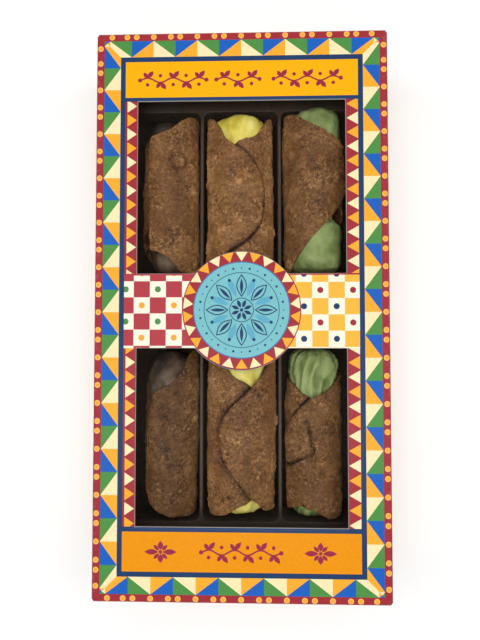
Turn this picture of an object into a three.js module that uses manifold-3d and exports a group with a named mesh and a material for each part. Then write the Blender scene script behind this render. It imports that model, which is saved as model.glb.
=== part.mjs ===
// A flat printed carton of six filled cannoli, shut, with two film windows in its front panel.
// A dark thermoformed tray inside it has two rows of three troughs, one cannolo in each.
// Millimetres. The carton lies on its back: +Z is up through the windows, +Y runs along the
// carton and +X across it. The origin is at the middle of the underside.
import * as THREE from "three";
import { mergeVertices } from "three/addons/utils/BufferGeometryUtils.js";
import Module from "manifold-3d";

// ---- driving dimensions ----------------------------------------------------------------------

// carton
const CARTON_WIDTH = 135;
const CARTON_LENGTH = 261;
const CARTON_HEIGHT = 40;
const BOARD = 0.6;
const WINDOW_HALF_WIDTH = 48;
const WINDOW_OUTER_END = 97.5; // from the middle of the windows to the far edge of each
const BAND_HALF_HEIGHT = 17.1; // board left between the two windows
const BADGE_RADIUS = 27.2; // round tab of board in the middle of the band
const WINDOW_SHIFT = 0.6; // the windows are cut this far towards +Y

// film glued behind the windows
const FILM = 0.2;
const FILM_GAP = 0.1;
const FILM_OVERLAP = 7;

// tray
const SHEET = 0.6;
const TRAY_TOP = 24;
const TRAY_FOOT = 0.9;
const TRAY_SHIFT = -0.6; // the tray lies this far off the middle in X
const RIM_HALF_WIDTH = 65.2;
const RIM_HALF_LENGTH = 128.6;
const SKIRT_FLARE = 0.9;
const RIM_CORNER = 6;
const TROUGH_PITCH = 38.2;
const TROUGH_RADIUS = 18;
const TROUGH_END = 100.2; // far end of each trough at the rim
const TROUGH_INNER_END = 2.6; // end next to the cross ridge
const TROUGH_CORNER = 3;
const DRAFT = Math.tan(THREE.MathUtils.degToRad(3));
const TROUGH_FLOOR_ANGLE = 15; // degrees of the trough's arc that are flattened to its floor
const TROUGH_ARC_STEPS = 4;
const CORNER_STEPS = 2;

// cannoli
const PASTRY = 1.9;
const LAP_GAP = 0.6; // between the two layers where the pastry laps over itself
const REST_GAP = 0.3; // between the pastry and the trough
const PASTRY_STEPS_ROUND = 22;
const PASTRY_STEPS_ALONG = 7;
const BULGE = 0.05; // how much narrower the ends are than the middle
const WOBBLE = 0.3;
const OUTLINE_STEPS = 12; // from one point of a cut piece's outline to the next
const STEP_START = 10; // degrees before the seam where a stepped edge starts to draw in
const STEP_SHARE = 0.35;
const STEP_BLEND = 2;
const STEP_SLANT = 0.11; // millimetres along for each degree round
const STEP_SLANT_REACH = 7;
const FILLING_GAP = 1.1;
const FILLING_STEPS_ALONG = 9;
const FILLING_STEPS_ROUND = 14;
const FILLING_DOME = 0.6; // share of the end's area that the dome takes away
const FILLING_BLUNTNESS = 9;
const STEPS_PER_LOBE = 4;
const GROOVE = 0.5; // half the depth between two piped ridges
const GROOVE_TWIST = 9; // millimetres along for one radian of twist

// Each cannolo is a round piece of pastry wrapped on a tube, one edge over the other, filled.
// x, y: its middle. seam: where the edges meet, in degrees from the top towards +X.
// hand: 1 where the outer edge points to +X. lap: how far it runs past the seam, in degrees.
// ends: where the filling stops, from the middle. lobes: ridges of the piped cream.
// edgeStep: where the outer edge steps back along the tube.
// outline: points of the cut piece's edge, from its outer tip by way of its +Y end. Each is a
// turn in degrees from the side opposite the seam and a distance along from the middle.
const CANNOLI = [
  {
    flavour: "chocolate", number: 1, x: -36.2, y: 57.3, halfWidth: 14.6, length: 82,
    seam: -60, hand: -1, lap: 40, ends: [-39, 39], lobes: 0, phase: 0.4,
    outline: [
      [158, 4], [155, 16], [151, 26.3], [132, 28.8], [109, 31.5], [88, 36.3], [62, 40], [20, 41],
      [-60, 40.3], [-120, 35], [-163, 26.5], [-200, 21.8], [-216, 6], [-200, -13.8], [-165, -18],
      [-120, -29], [-50, -39], [40, -40.8], [88, -37.5], [112, -31.3], [135, -28.1], [153, -25.8],
      [156, -12],
    ],
  },
  {
    flavour: "lemon", number: 1, x: -0.3, y: 47.6, halfWidth: 16.8, length: 91,
    seam: -11, hand: 1, lap: 50, ends: [-41, 50.4], lobes: 0, phase: 1.3,
    outline: [
      [230, 10], [222, 19.5], [200, 27.6], [167, 35], [150, 42.3], [125, 48.3], [60, 50.3],
      [-40, 50.3], [-98, 48.6], [-116, 44.5], [-140, 37.5], [-180, 32.3], [-215, 18], [-228, -2],
      [-190, -20], [-120, -34], [-30, -40.5], [70, -39], [130, -27], [168, -19.3], [205, -12],
      [226, -2],
    ],
  },
  {
    flavour: "pistachio", number: 1, x: 36, y: 58.2, halfWidth: 15.6, length: 80,
    seam: 84, hand: 1, lap: 45, ends: [-39, 40.4], lobes: 0, phase: 2.1,
    outline: [
      [178, 11], [160, 18.5], [150, 22.8], [138, 25], [122, 27.5], [100, 30.4], [78, 33.6],
      [58, 37.3], [30, 39.8], [-20, 39.8], [-80, 36], [-130, 26], [-180, 14], [-205, 2],
      [-185, -8], [-140, -20], [-80, -34], [-20, -39.5], [30, -38.5], [45, -34.5], [65, -28.9],
      [86, -22.4], [109, -15.8], [132, -9], [152, -2.5], [172, 4],
    ],
  },
  {
    flavour: "chocolate", number: 2, x: -35.7, y: -57.5, halfWidth: 13.6, length: 81,
    seam: -78, hand: -1, lap: 42, ends: [-38, 39], lobes: 0, phase: 3.7,
    outline: [
      [142, 3], [136, 13.5], [130, 19], [113, 21.6], [94, 23.7], [78, 27.3], [65, 31], [50, 37.3],
      [25, 40.2], [-40, 40.2], [-110, 34], [-165, 26], [-205, 22.5], [-221, 14], [-205, 2],
      [-175, -10], [-150, -25], [-110, -36], [-50, -40], [30, -40.2], [95, -38.1], [128, -35],
      [146, -29], [151, -20], [147, -10],
    ],
  },
  {
    flavour: "lemon", number: 2, x: -0.9, y: -55, halfWidth: 16.7, length: 86,
    seam: 15, hand: -1, lap: 46, ends: [-42, 40], lobes: 0, phase: 4.4,
    outline: [
      [228, -3], [224, 3.5], [214, 9.3], [197, 13.9], [173, 20.8], [158, 25], [142, 31],
      [110, 39], [40, 42.4], [-50, 41], [-100, 34.5], [-134, 30], [-156, 24.7], [-186, 20.3],
      [-215, 8], [-226, -8], [-215, -22], [-190, -31.5], [-160, -35.6], [-128, -40], [-60, -42.6],
      [40, -42.4], [115, -39.3], [150, -37.2], [163, -33.8], [178, -30.4], [200, -22], [219, -13],
    ],
  },
  {
    flavour: "pistachio", number: 2, x: 34.8, y: -63.2, halfWidth: 13.7, length: 69.5,
    seam: -11, hand: -1, lap: 56, ends: [-35.4, 46.5], lobes: 14, phase: 5.2, edgeStep: -6.4,
    outline: [
      [238, 2], [234, 7], [222, 12], [203, 17], [178, 22.9], [160, 24.4], [141, 27.1], [117, 31],
      [60, 34.3], [-40, 34], [-105, 30.5], [-136, 28.1], [-160, 24.6], [-182, 22.4], [-215, 14],
      [-236, 2], [-225, -14], [-205, -25], [-183, -29.9], [-166, -28.9], [-150, -28.9],
      [-125, -31], [-50, -34.6], [50, -34.6], [125, -34.6], [148, -33.2], [163, -31.6],
      [176, -30.2], [200, -29.2], [225, -26.5], [236, -18], [238, -8],
    ],
  },
];

// ---- values that follow ----------------------------------------------------------------------

const RADIANS = Math.PI / 180;
const TROUGH_AXIS_Z = TRAY_FOOT + SHEET + TROUGH_RADIUS * Math.cos(TROUGH_FLOOR_ANGLE * RADIANS);
const TROUGH_MIDDLE_Y = (TROUGH_END + TROUGH_INNER_END) / 2;
const TROUGH_HALF_LENGTH = (TROUGH_END - TROUGH_INNER_END) / 2;
const CUT_MARGIN = 1; // cutting solids run this far past what they cut

const wasm = await Module();
wasm.setup();

// ---- shapes and solids -----------------------------------------------------------------------

function toSolid(geometry) {
  const bare = new THREE.BufferGeometry();
  bare.setAttribute("position", geometry.getAttribute("position"));
  bare.setIndex(geometry.getIndex());
  const merged = mergeVertices(bare, 1e-4);
  return new wasm.Manifold(
    new wasm.Mesh({
      numProp: 3,
      vertProperties: merged.attributes.position.array,
      triVerts: new Uint32Array(merged.index.array),
    }),
  );
}

function toGeometry(solid) {
  const mesh = solid.getMesh();
  const geometry = new THREE.BufferGeometry();
  geometry.setAttribute("position", new THREE.BufferAttribute(mesh.vertProperties, 3));
  geometry.setIndex(new THREE.BufferAttribute(mesh.triVerts, 1));
  return geometry;
}

function geometryOf(points, triangles) {
  const geometry = new THREE.BufferGeometry();
  geometry.setAttribute("position", new THREE.Float32BufferAttribute(points.flat(), 3));
  geometry.setIndex(triangles.flat());
  return geometry;
}

// A box between two corners.
function block(low, high) {
  const size = high.map((value, i) => value - low[i]);
  const box = new THREE.BoxGeometry(...size);
  box.translate(...low.map((value, i) => value + size[i] / 2));
  return box;
}

// A closed skin over a stack of rings with the same number of points, each end closed by a fan.
// The rings run anticlockwise seen from the end that the stack grows towards.
function loft(rings) {
  const count = rings[0].length;
  const points = rings.flat();
  const triangles = [];
  for (let ring = 0; ring + 1 < rings.length; ring += 1) {
    for (let i = 0; i < count; i += 1) {
      const next = (i + 1) % count;
      const [a, b] = [ring * count + i, ring * count + next];
      const [c, d] = [a + count, b + count];
      triangles.push([a, b, d], [a, d, c]);
    }
  }
  const last = (rings.length - 1) * count;
  for (let i = 1; i + 1 < count; i += 1) {
    triangles.push([0, i + 1, i], [last, last + i, last + i + 1]);
  }
  return geometryOf(points, triangles);
}

// A rectangle with round corners, anticlockwise seen from above.
function roundedRing(halfX, halfY, corner, z, centre = [0, 0]) {
  const radius = Math.min(corner, halfX * 0.9, halfY * 0.9);
  const ring = [];
  for (let quarter = 0; quarter < 4; quarter += 1) {
    const signX = quarter === 0 || quarter === 3 ? 1 : -1;
    const signY = quarter < 2 ? 1 : -1;
    for (let step = 0; step <= CORNER_STEPS; step += 1) {
      const angle = (quarter + step / CORNER_STEPS) * (Math.PI / 2);
      ring.push([
        centre[0] + signX * (halfX - radius) + radius * Math.cos(angle),
        centre[1] + signY * (halfY - radius) + radius * Math.sin(angle),
        z,
      ]);
    }
  }
  return ring;
}

// ---- carton ----------------------------------------------------------------------------------

// One window: a rectangle from the band to the far end, less the round tab that reaches into it.
function windowOutline(side) {
  const start = Math.asin(BAND_HALF_HEIGHT / BADGE_RADIUS);
  const tabEdge = BADGE_RADIUS * Math.cos(start);
  const outline = new THREE.Shape();
  outline.moveTo(WINDOW_HALF_WIDTH, side * BAND_HALF_HEIGHT);
  outline.lineTo(WINDOW_HALF_WIDTH, side * WINDOW_OUTER_END);
  outline.lineTo(-WINDOW_HALF_WIDTH, side * WINDOW_OUTER_END);
  outline.lineTo(-WINDOW_HALF_WIDTH, side * BAND_HALF_HEIGHT);
  outline.lineTo(-tabEdge, side * BAND_HALF_HEIGHT);
  outline.absarc(0, 0, BADGE_RADIUS, side * (Math.PI - start), side * start, side > 0);
  return outline;
}

function cartonGeometry() {
  const [halfX, halfY] = [CARTON_WIDTH / 2, CARTON_LENGTH / 2];
  const outside = block([-halfX, -halfY, 0], [halfX, halfY, CARTON_HEIGHT]);
  const inside = block(
    [-halfX + BOARD, -halfY + BOARD, BOARD],
    [halfX - BOARD, halfY - BOARD, CARTON_HEIGHT - BOARD],
  );
  let carton = toSolid(outside).subtract(toSolid(inside));
  for (const side of [1, -1]) {
    const cutter = new THREE.ExtrudeGeometry(windowOutline(side), {
      depth: BOARD + 2 * CUT_MARGIN,
      bevelEnabled: false,
      curveSegments: 20,
    });
    cutter.translate(0, WINDOW_SHIFT, CARTON_HEIGHT - BOARD - CUT_MARGIN);
    carton = carton.subtract(toSolid(cutter));
  }
  return toGeometry(carton);
}

function filmGeometry() {
  const top = CARTON_HEIGHT - BOARD - FILM_GAP;
  const halfX = WINDOW_HALF_WIDTH + FILM_OVERLAP;
  const halfY = WINDOW_OUTER_END + FILM_OVERLAP;
  return block(
    [-halfX, WINDOW_SHIFT - halfY, top - FILM],
    [halfX, WINDOW_SHIFT + halfY, top],
  );
}

// ---- tray ------------------------------------------------------------------------------------

// The space of one trough, or with a thickness its outside: an arc below, drafted walls above.
function troughGeometry(centre, thickness, top) {
  const rings = [];
  const halfLength = (z) => TROUGH_HALF_LENGTH - (TRAY_TOP - z) * DRAFT + thickness;
  for (let step = 0; step <= TROUGH_ARC_STEPS; step += 1) {
    const share = step / TROUGH_ARC_STEPS;
    const angle = (TROUGH_FLOOR_ANGLE + (90 - TROUGH_FLOOR_ANGLE) * share) * RADIANS;
    const z = TROUGH_AXIS_Z - (TROUGH_RADIUS + thickness) * Math.cos(angle);
    const floorRounding = step === 0 ? TROUGH_CORNER / 2 : 0;
    rings.push(
      roundedRing(
        (TROUGH_RADIUS + thickness) * Math.sin(angle),
        halfLength(z) - floorRounding,
        TROUGH_CORNER,
        z,
        centre,
      ),
    );
  }
  const halfWidth = TROUGH_RADIUS + thickness + (top - TROUGH_AXIS_Z) * DRAFT;
  rings.push(roundedRing(halfWidth, halfLength(top), TROUGH_CORNER, top, centre));
  return loft(rings);
}

// The rim plate with its flared skirt, open below.
function rimSolid() {
  const flareAt = (z) => (SKIRT_FLARE * (TRAY_TOP - z)) / (TRAY_TOP - TRAY_FOOT);
  const ringAt = (z, inset) =>
    roundedRing(
      RIM_HALF_WIDTH + flareAt(z) - inset,
      RIM_HALF_LENGTH + flareAt(z) - inset,
      RIM_CORNER,
      z,
    );
  const outside = loft([ringAt(TRAY_FOOT, 0), ringAt(TRAY_TOP, 0)]);
  const inside = loft([ringAt(TRAY_FOOT - CUT_MARGIN, SHEET), ringAt(TRAY_TOP - SHEET, SHEET)]);
  return toSolid(outside).subtract(toSolid(inside));
}

function trayGeometry() {
  const centres = [];
  for (const row of [1, -1]) {
    for (const column of [-1, 0, 1]) {
      centres.push([column * TROUGH_PITCH, row * TROUGH_MIDDLE_Y]);
    }
  }
  let tray = rimSolid();
  for (const centre of centres) {
    tray = tray.add(toSolid(troughGeometry(centre, SHEET, TRAY_TOP)));
  }
  for (const centre of centres) {
    tray = tray.subtract(toSolid(troughGeometry(centre, 0, TRAY_TOP + CUT_MARGIN)));
  }
  const geometry = toGeometry(tray);
  geometry.translate(TRAY_SHIFT, 0, 0);
  return geometry;
}

// ---- cannoli ---------------------------------------------------------------------------------

// Lengths here run from the cannolo's own middle, and angles from the top towards +X.

// Soft unevenness of a hand-made tube, the same for every layer at one place.
function wobble(cannolo, angle, along) {
  const slow = Math.sin(2 * angle + cannolo.phase + along / 19);
  const quick = Math.sin(3 * angle - 2 * cannolo.phase - along / 13);
  return WOBBLE * (slow + 0.6 * quick);
}

// The middle of the pastry's thickness, before the spiral of its lap.
function tubeRadius(cannolo, angle, along) {
  const share = Math.min(Math.abs(along) / (cannolo.length / 2), 1);
  const straight = cannolo.halfWidth - PASTRY / 2;
  return straight * (1 - BULGE * share * share) + wobble(cannolo, angle, along);
}

// How much further out the pastry lies after a turn from the side opposite its seam.
function spiral(turn) {
  return ((PASTRY + LAP_GAP) * turn) / (2 * Math.PI);
}

// How far the cut piece's outline reaches in each direction from its middle: a smooth closed
// curve through its points, in shares of the whole turn and of half its length.
function outlineTable({ outline, lap, length }) {
  const points = outline.map(
    ([turn, along]) => new THREE.Vector3(turn / (180 + lap), along / (length / 2), 0),
  );
  const curve = new THREE.CatmullRomCurve3(points, true, "catmullrom", 0.5);
  return curve
    .getPoints(points.length * OUTLINE_STEPS)
    .slice(1)
    .map(({ x, y }) => ({ direction: Math.atan2(y, x), reach: Math.hypot(x, y) }))
    .sort((one, other) => one.direction - other.direction);
}

const outlineTables = new Map(CANNOLI.map((cannolo) => [cannolo, outlineTable(cannolo)]));

function outlineReach(cannolo, direction) {
  const table = outlineTables.get(cannolo);
  const next = Math.max(table.findIndex((entry) => entry.direction > direction), 0);
  const [from, to] = [table.at(next - 1), table[next]];
  const turnBetween = (one, other) => THREE.MathUtils.euclideanModulo(other - one, 2 * Math.PI);
  const share =
    turnBetween(from.direction, direction) / turnBetween(from.direction, to.direction);
  return THREE.MathUtils.lerp(from.reach, to.reach, share);
}

// Where the outer edge steps back, the part of it past the seam is drawn in to a share of itself,
// and the edge of the step slants. Gives the turn and how far the place moves along the tube.
function stepped(cannolo, turn, along) {
  const held = Math.PI - STEP_START * RADIANS;
  if (cannolo.edgeStep === undefined || turn < held) return [turn, 0];
  const past = along - cannolo.edgeStep;
  const share = THREE.MathUtils.smoothstep(past, -STEP_BLEND, STEP_BLEND);
  const drawn = held + (turn - held) * THREE.MathUtils.lerp(STEP_SHARE, 1, share);
  const near = Math.exp(-((past / STEP_SLANT_REACH) ** 2));
  const middle = held + (cannolo.lap / 2) * RADIANS;
  return [drawn, (-STEP_SLANT * near * (drawn - middle)) / RADIANS];
}

// A point of the wrapped pastry. s and w run from -1 to 1 across and along the cut piece, and
// layer is -0.5 on its inner face and 0.5 on its outer face.
function pastryPoint(cannolo, s, w, layer) {
  const { seam, hand, lap, length } = cannolo;
  const across = s * Math.sqrt(1 - (w * w) / 2);
  const along = w * Math.sqrt(1 - (s * s) / 2);
  const reach = outlineReach(cannolo, Math.atan2(along, across));
  const straight = (along * reach * length) / 2;
  const [turn, shift] = stepped(cannolo, across * reach * (Math.PI + lap * RADIANS), straight);
  const y = straight + shift;
  const angle = seam * RADIANS + hand * (turn - Math.PI);
  const radius = tubeRadius(cannolo, angle, y) + spiral(turn) + layer * PASTRY;
  return [radius * Math.sin(angle), y, radius * Math.cos(angle)];
}

function pastryGeometry(cannolo) {
  const [columns, rows] = [PASTRY_STEPS_ROUND, PASTRY_STEPS_ALONG];
  const points = [];
  for (const layer of [0.5, -0.5]) {
    for (let row = 0; row <= rows; row += 1) {
      for (let column = 0; column <= columns; column += 1) {
        const s = (2 * column) / columns - 1;
        const w = (2 * row) / rows - 1;
        points.push(pastryPoint(cannolo, s, w, layer));
      }
    }
  }
  const layerSize = (columns + 1) * (rows + 1);
  const at = (column, row) => row * (columns + 1) + column;
  const triangles = [];
  const quad = (...corners) => {
    const [a, b, c, d] = cannolo.hand > 0 ? corners : corners.toReversed();
    triangles.push([a, b, c], [a, c, d]);
  };
  for (let row = 0; row < rows; row += 1) {
    for (let column = 0; column < columns; column += 1) {
      const corners = [
        at(column, row), at(column + 1, row), at(column + 1, row + 1), at(column, row + 1),
      ];
      quad(...corners);
      quad(...corners.toReversed().map((index) => index + layerSize));
    }
  }
  const edge = [];
  for (let column = 0; column < columns; column += 1) edge.push(at(column, 0));
  for (let row = 0; row < rows; row += 1) edge.push(at(columns, row));
  for (let column = columns; column > 0; column -= 1) edge.push(at(column, rows));
  for (let row = rows; row > 0; row -= 1) edge.push(at(0, row));
  edge.forEach((from, i) => {
    const to = edge[(i + 1) % edge.length];
    quad(from, from + layerSize, to + layerSize, to);
  });
  return geometryOf(points, triangles);
}

// The innermost face of the pastry at an angle, as if its lap ran the whole length.
function innerRadius(cannolo, angle, along) {
  const { seam, hand, lap } = cannolo;
  const lowest = -Math.PI - lap * RADIANS;
  const turn = Math.PI + hand * (angle - seam * RADIANS);
  const wrapped = lowest + THREE.MathUtils.euclideanModulo(turn - lowest, 2 * Math.PI);
  return tubeRadius(cannolo, angle, along) + spiral(wrapped) - PASTRY / 2;
}

// The filling: a rope of cream that fills the tube, with domed ends, ridged where it was piped
// through a star nozzle.
function fillingGeometry(cannolo) {
  const { ends, lobes } = cannolo;
  const around = lobes > 0 ? lobes * STEPS_PER_LOBE : FILLING_STEPS_ROUND;
  const middle = (ends[0] + ends[1]) / 2;
  const half = (ends[1] - ends[0]) / 2;
  const stepAngle = (2 * Math.PI) / around;
  const rings = [];
  for (let step = 0; step <= FILLING_STEPS_ALONG; step += 1) {
    const share = Math.sin(((step / FILLING_STEPS_ALONG) * 2 - 1) * (Math.PI / 2));
    const dome = Math.sqrt(1 - FILLING_DOME * Math.abs(share) ** FILLING_BLUNTNESS);
    const along = middle + half * share;
    const ring = [];
    for (let i = 0; i < around; i += 1) {
      const angle = i * stepAngle;
      const room = Math.min(
        ...[-1, 0, 1].map((side) => innerRadius(cannolo, angle + side * stepAngle, along)),
      );
      const groove = lobes > 0 ? GROOVE * (1 + Math.cos(lobes * angle + along / GROOVE_TWIST)) : 0;
      const radius = (room - FILLING_GAP - groove) * dome;
      ring.push([radius * Math.sin(angle), along, radius * Math.cos(angle)]);
    }
    rings.push(ring);
  }
  return loft(rings);
}

// The height at which a cannolo's axis comes to rest in its trough, with a small gap all round.
function restingHeight(cannolo, points) {
  const column = Math.round(cannolo.x / TROUGH_PITCH);
  const fromTrough = cannolo.x - (TRAY_SHIFT + column * TROUGH_PITCH);
  const facetAngle = ((90 - TROUGH_FLOOR_ANGLE) / TROUGH_ARC_STEPS) * RADIANS;
  const reach = TROUGH_RADIUS * Math.cos(facetAngle / 2) - REST_GAP;
  const floor = TRAY_FOOT + SHEET + REST_GAP;
  let height = 0;
  for (let i = 0; i < points.count; i += 1) {
    const offset = fromTrough + points.getX(i);
    const drop = Math.sqrt(Math.max(reach * reach - offset * offset, 0));
    height = Math.max(height, Math.max(TROUGH_AXIS_Z - drop, floor) - points.getZ(i));
  }
  return height;
}

// ---- assembly --------------------------------------------------------------------------------

const materials = {
  board: new THREE.MeshStandardMaterial({ color: 0xa8343b, roughness: 0.35 }),
  film: new THREE.MeshStandardMaterial({
    color: 0xf4f6f8, roughness: 0.08, transparent: true, opacity: 0.2,
  }),
  tray: new THREE.MeshStandardMaterial({ color: 0x30271f, roughness: 0.3 }),
  pastry: new THREE.MeshStandardMaterial({ color: 0x7a573a, roughness: 0.75 }),
  chocolate: new THREE.MeshStandardMaterial({ color: 0x4a3a30, roughness: 0.5 }),
  lemon: new THREE.MeshStandardMaterial({ color: 0xdece65, roughness: 0.55 }),
  pistachio: new THREE.MeshStandardMaterial({ color: 0x889560, roughness: 0.65 }),
};

function piece(name, geometry, material) {
  geometry.computeVertexNormals();
  const mesh = new THREE.Mesh(geometry, material);
  mesh.name = name;
  return mesh;
}

// One cannolo, placed with its middle on its axis.
function cannoloGroup(cannolo) {
  const { flavour, number } = cannolo;
  const pastry = pastryGeometry(cannolo);
  const group = new THREE.Group();
  group.add(piece(`shell_${flavour}_${number}`, pastry, materials.pastry));
  group.add(piece(`filling_${flavour}_${number}`, fillingGeometry(cannolo), materials[flavour]));
  group.position.set(cannolo.x, cannolo.y, restingHeight(cannolo, pastry.attributes.position));
  return group;
}

const pack = new THREE.Group();
pack.add(piece("carton", cartonGeometry(), materials.board));
pack.add(piece("window_film", filmGeometry(), materials.film));
pack.add(piece("tray", trayGeometry(), materials.tray));
CANNOLI.forEach((cannolo) => pack.add(cannoloGroup(cannolo)));

export default pack;
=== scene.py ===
"""Finished look of a shut printed window carton with six cannoli in a dark moulded tray.

+Z is up through the windows, +Y along the carton, and the origin is the middle of its underside.
Shapes are worked out in millimetres, and make_piece() turns them into metres. Each piece stands
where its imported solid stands.
"""

import math

import bmesh
import bpy
import numpy as np
from mathutils import Euler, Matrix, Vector
from mathutils.geometry import delaunay_2d_cdt
from mathutils.kdtree import KDTree


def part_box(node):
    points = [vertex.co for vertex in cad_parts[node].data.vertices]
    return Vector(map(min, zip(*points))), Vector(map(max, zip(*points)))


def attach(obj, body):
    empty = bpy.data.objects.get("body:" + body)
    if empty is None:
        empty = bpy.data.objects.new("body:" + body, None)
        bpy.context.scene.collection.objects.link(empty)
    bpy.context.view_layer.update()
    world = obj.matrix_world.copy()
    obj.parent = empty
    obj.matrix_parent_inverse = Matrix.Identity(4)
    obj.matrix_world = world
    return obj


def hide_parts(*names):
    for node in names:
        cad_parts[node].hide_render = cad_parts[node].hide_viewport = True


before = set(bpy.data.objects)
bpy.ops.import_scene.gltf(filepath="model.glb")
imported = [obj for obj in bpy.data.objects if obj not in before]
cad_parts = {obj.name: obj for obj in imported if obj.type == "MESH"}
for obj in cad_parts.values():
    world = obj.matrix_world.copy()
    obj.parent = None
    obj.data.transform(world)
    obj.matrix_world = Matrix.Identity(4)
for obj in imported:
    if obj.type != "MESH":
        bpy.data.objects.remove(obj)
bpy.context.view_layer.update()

MM = 0.001
TO_MM = 1 / MM


def box_mm(node):
    """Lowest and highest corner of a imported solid, in millimetres."""
    return [[value / MM for value in corner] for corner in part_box(node)]


# ---- sizes, in millimetres -------------------------------------------------------------------

# carton
HALF_WIDTH, HALF_LENGTH, HEIGHT = box_mm("carton")[1]
BOARD = 0.6
FOLD = 0.9  # outer radius of a fold
WINDOW_HALF_WIDTH = 48
WINDOW_OUTER_END = 97.5
BAND_HALF_HEIGHT = 17.1
BADGE_RADIUS = 27.2
WINDOW_SHIFT = 0.6
CUT_BEVEL = 0.16  # unprinted board that the cutting die leaves along the windows
CUT_DROP = 0.12
BOW = 0.35  # how far the middle of a panel sinks in
FLAP_GAP = 3.5  # from the free edge of an end flap to the back panel
FLAP_INSET = 0.9
DUST_FLAP = 9
INNER_FLAP = 30
GLUE_FLAP = 12
FLAP_SIDE_GAP = 1.3  # from the side of an inner flap to the fold beside it
FLAP_ROOT = 4  # how far a flap's print runs back over its fold
GRID = 9  # spacing of the cuts that let a panel bow
FOLD_CUTS = (-1, -0.5, 0, 0.5, 1)  # where a fold is cut so that it rounds, in radii
SLEEVE_GAP = 0.2  # between the glued seam's outer edge and the back panel

# tray
TRAY_LOW, TRAY_HIGH = box_mm("tray")
TRAY_FOOT, TRAY_TOP = TRAY_LOW[2], TRAY_HIGH[2]
SHEET = 0.5
SKIRT_FLARE = 0.9
RIM_HALF_WIDTH = (TRAY_HIGH[0] - TRAY_LOW[0]) / 2 - SKIRT_FLARE
RIM_HALF_LENGTH = (TRAY_HIGH[1] - TRAY_LOW[1]) / 2 - SKIRT_FLARE
TRAY_SHIFT = (TRAY_HIGH[0] + TRAY_LOW[0]) / 2
RIM_CORNER = 6
TROUGH_PITCH = 38.2
TROUGH_RADIUS = 18
TROUGH_END = 100.2
TROUGH_INNER_END = 2.6
TROUGH_CORNER = 3.2
TROUGH_FLOOR_ANGLE = math.radians(15)
FLOOR_ROUNDING = 3
TRAY_EDGE = 0.62  # radius of the moulded edges
RIM_EDGE = 2 * TRAY_EDGE
DRAFT = math.tan(math.radians(3))
FLOOR_CLEARANCE = 0.6
TROUGH_FLOOR = TRAY_FOOT + FLOOR_CLEARANCE
TROUGH_AXIS_Z = TROUGH_FLOOR + TROUGH_RADIUS * math.cos(TROUGH_FLOOR_ANGLE)
CORNER_STEPS, WALL_STEPS, EDGE_STEPS = 7, 18, 6

# film
FILM_LOW, FILM_HIGH = box_mm("window_film")
FILM_STEP = 3
FILM_WAVE = 0.12

# cannoli
PASTRY = 1.9
LAP_GAP = 0.6
BULGE = 0.05
WOBBLE = 0.3
SLOW_WAVE, QUICK_WAVE = 19, 13  # how the wobble drifts along the tube
CROWDING = 0.55  # how far the mesh crowds towards the ends of the cut piece
PASTRY_SEED, CREAM_SEED = 7, 5  # times a cannolo's phase
OUTLINE_STEPS = 12
STEP_START = math.radians(10)
STEP_SHARE = 0.1
STEP_BLEND = 1.2
STEP_SLANT = 0.13  # millimetres along for each degree round
STEP_SLANT_REACH = 7
RIM_ROUNDING = 0.8  # how far in from its cut edge the outer face starts to round
UNDERCUT = 1.8  # how far in from its cut edge the inner face starts to rise
RIM_TOP, RIM_UNDER = 0.72, 0.1  # shares of the half thickness left at the cut edge
EDGE_LIFT = 0.35
EDGE_PRESS = 0.5
EDGE_LIFT_ZONE = 6
CURL_COUNT, CURL_LENGTH = 5, 6  # waves of the outer edge round and along the tube
EDGE_START, SUNK_START, SUNK_FULL = 1.2, 1.6, math.pi - 0.05  # turns, in radians
SUNK_RUN = (5, 0.5)  # how far past the step the edge is quite sunk, and how far it starts
# Painted shade on the pastry's colour: along creases, round a blister's foot, over a pit, in the
# crack beside the outer edge, in a shadow beside it, on the rim over it, and over the inner face.
CREASE_SHADE = 0.6
CREASE_START_FADE = 1
CREASE_END_FADE = (6, 2)  # before and past a crease's +Y end
BLISTER_SHADE = 0.4
PIT_SHADE = 0.9
BLISTER_RING = (0.8, 0.3)  # place and width of a blister's ring, in its radii
BLISTER_FOOT = (1.12, 0.22)
PIT_WIDTH = 0.7
SEAM_WIDTH = 0.6
SEAM_CORE = 0.5  # how far from the edge the crack is quite dark
SHADOW_WIDTH = 3.0
SEAM_OVERHANG = 0.9  # and how much farther where the edge overhangs the pastry under it
RIM_SHADE = 0.5
RIM_SHADE_WIDTH = 0.8
OVERLAP_FADE = 1.5
SEAM_START = 0.5  # the turn, in radians, from which the pastry can lie at a seam
STEP_SHADE_FADE = (1.8, 0.8)
EDGE_SAMPLES, END_SAMPLES = 2400, 300
INNER_SHADE = 0.5
FACE_END, FACE_FADE = 0.97, 12  # where the relief fades out near the cut edge, and how fast
SUNK_EDGE = 2.4
FILLING_INTO_PASTRY = 0.35
FILLING_SWELL = 1.0  # how far the cream stands out where no pastry holds it
SWELL_RUN = (-0.5, 5)
OVERHANG_START = 0.6
BLUNTNESS = 8
HOLLOW_START_FADE, HOLLOW_END_FADE = 2.5, 4
RIDGE = 1.5  # depth between two piped ridges
TORN = 0.22  # how rough the ridged cream is where it tore off the nozzle
# how much darker the grooves between piped ridges are painted, as shade
GROOVE_SHADE = 0.5
RIDGE_SLANT = 3.7  # millimetres along for one radian of a ridge's turn
PASTRY_STEPS_ROUND = 252
PASTRY_STEPS_ALONG = 152
FILLING_STEPS_ROUND = 168
FILLING_STEPS_ALONG = 120
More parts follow.
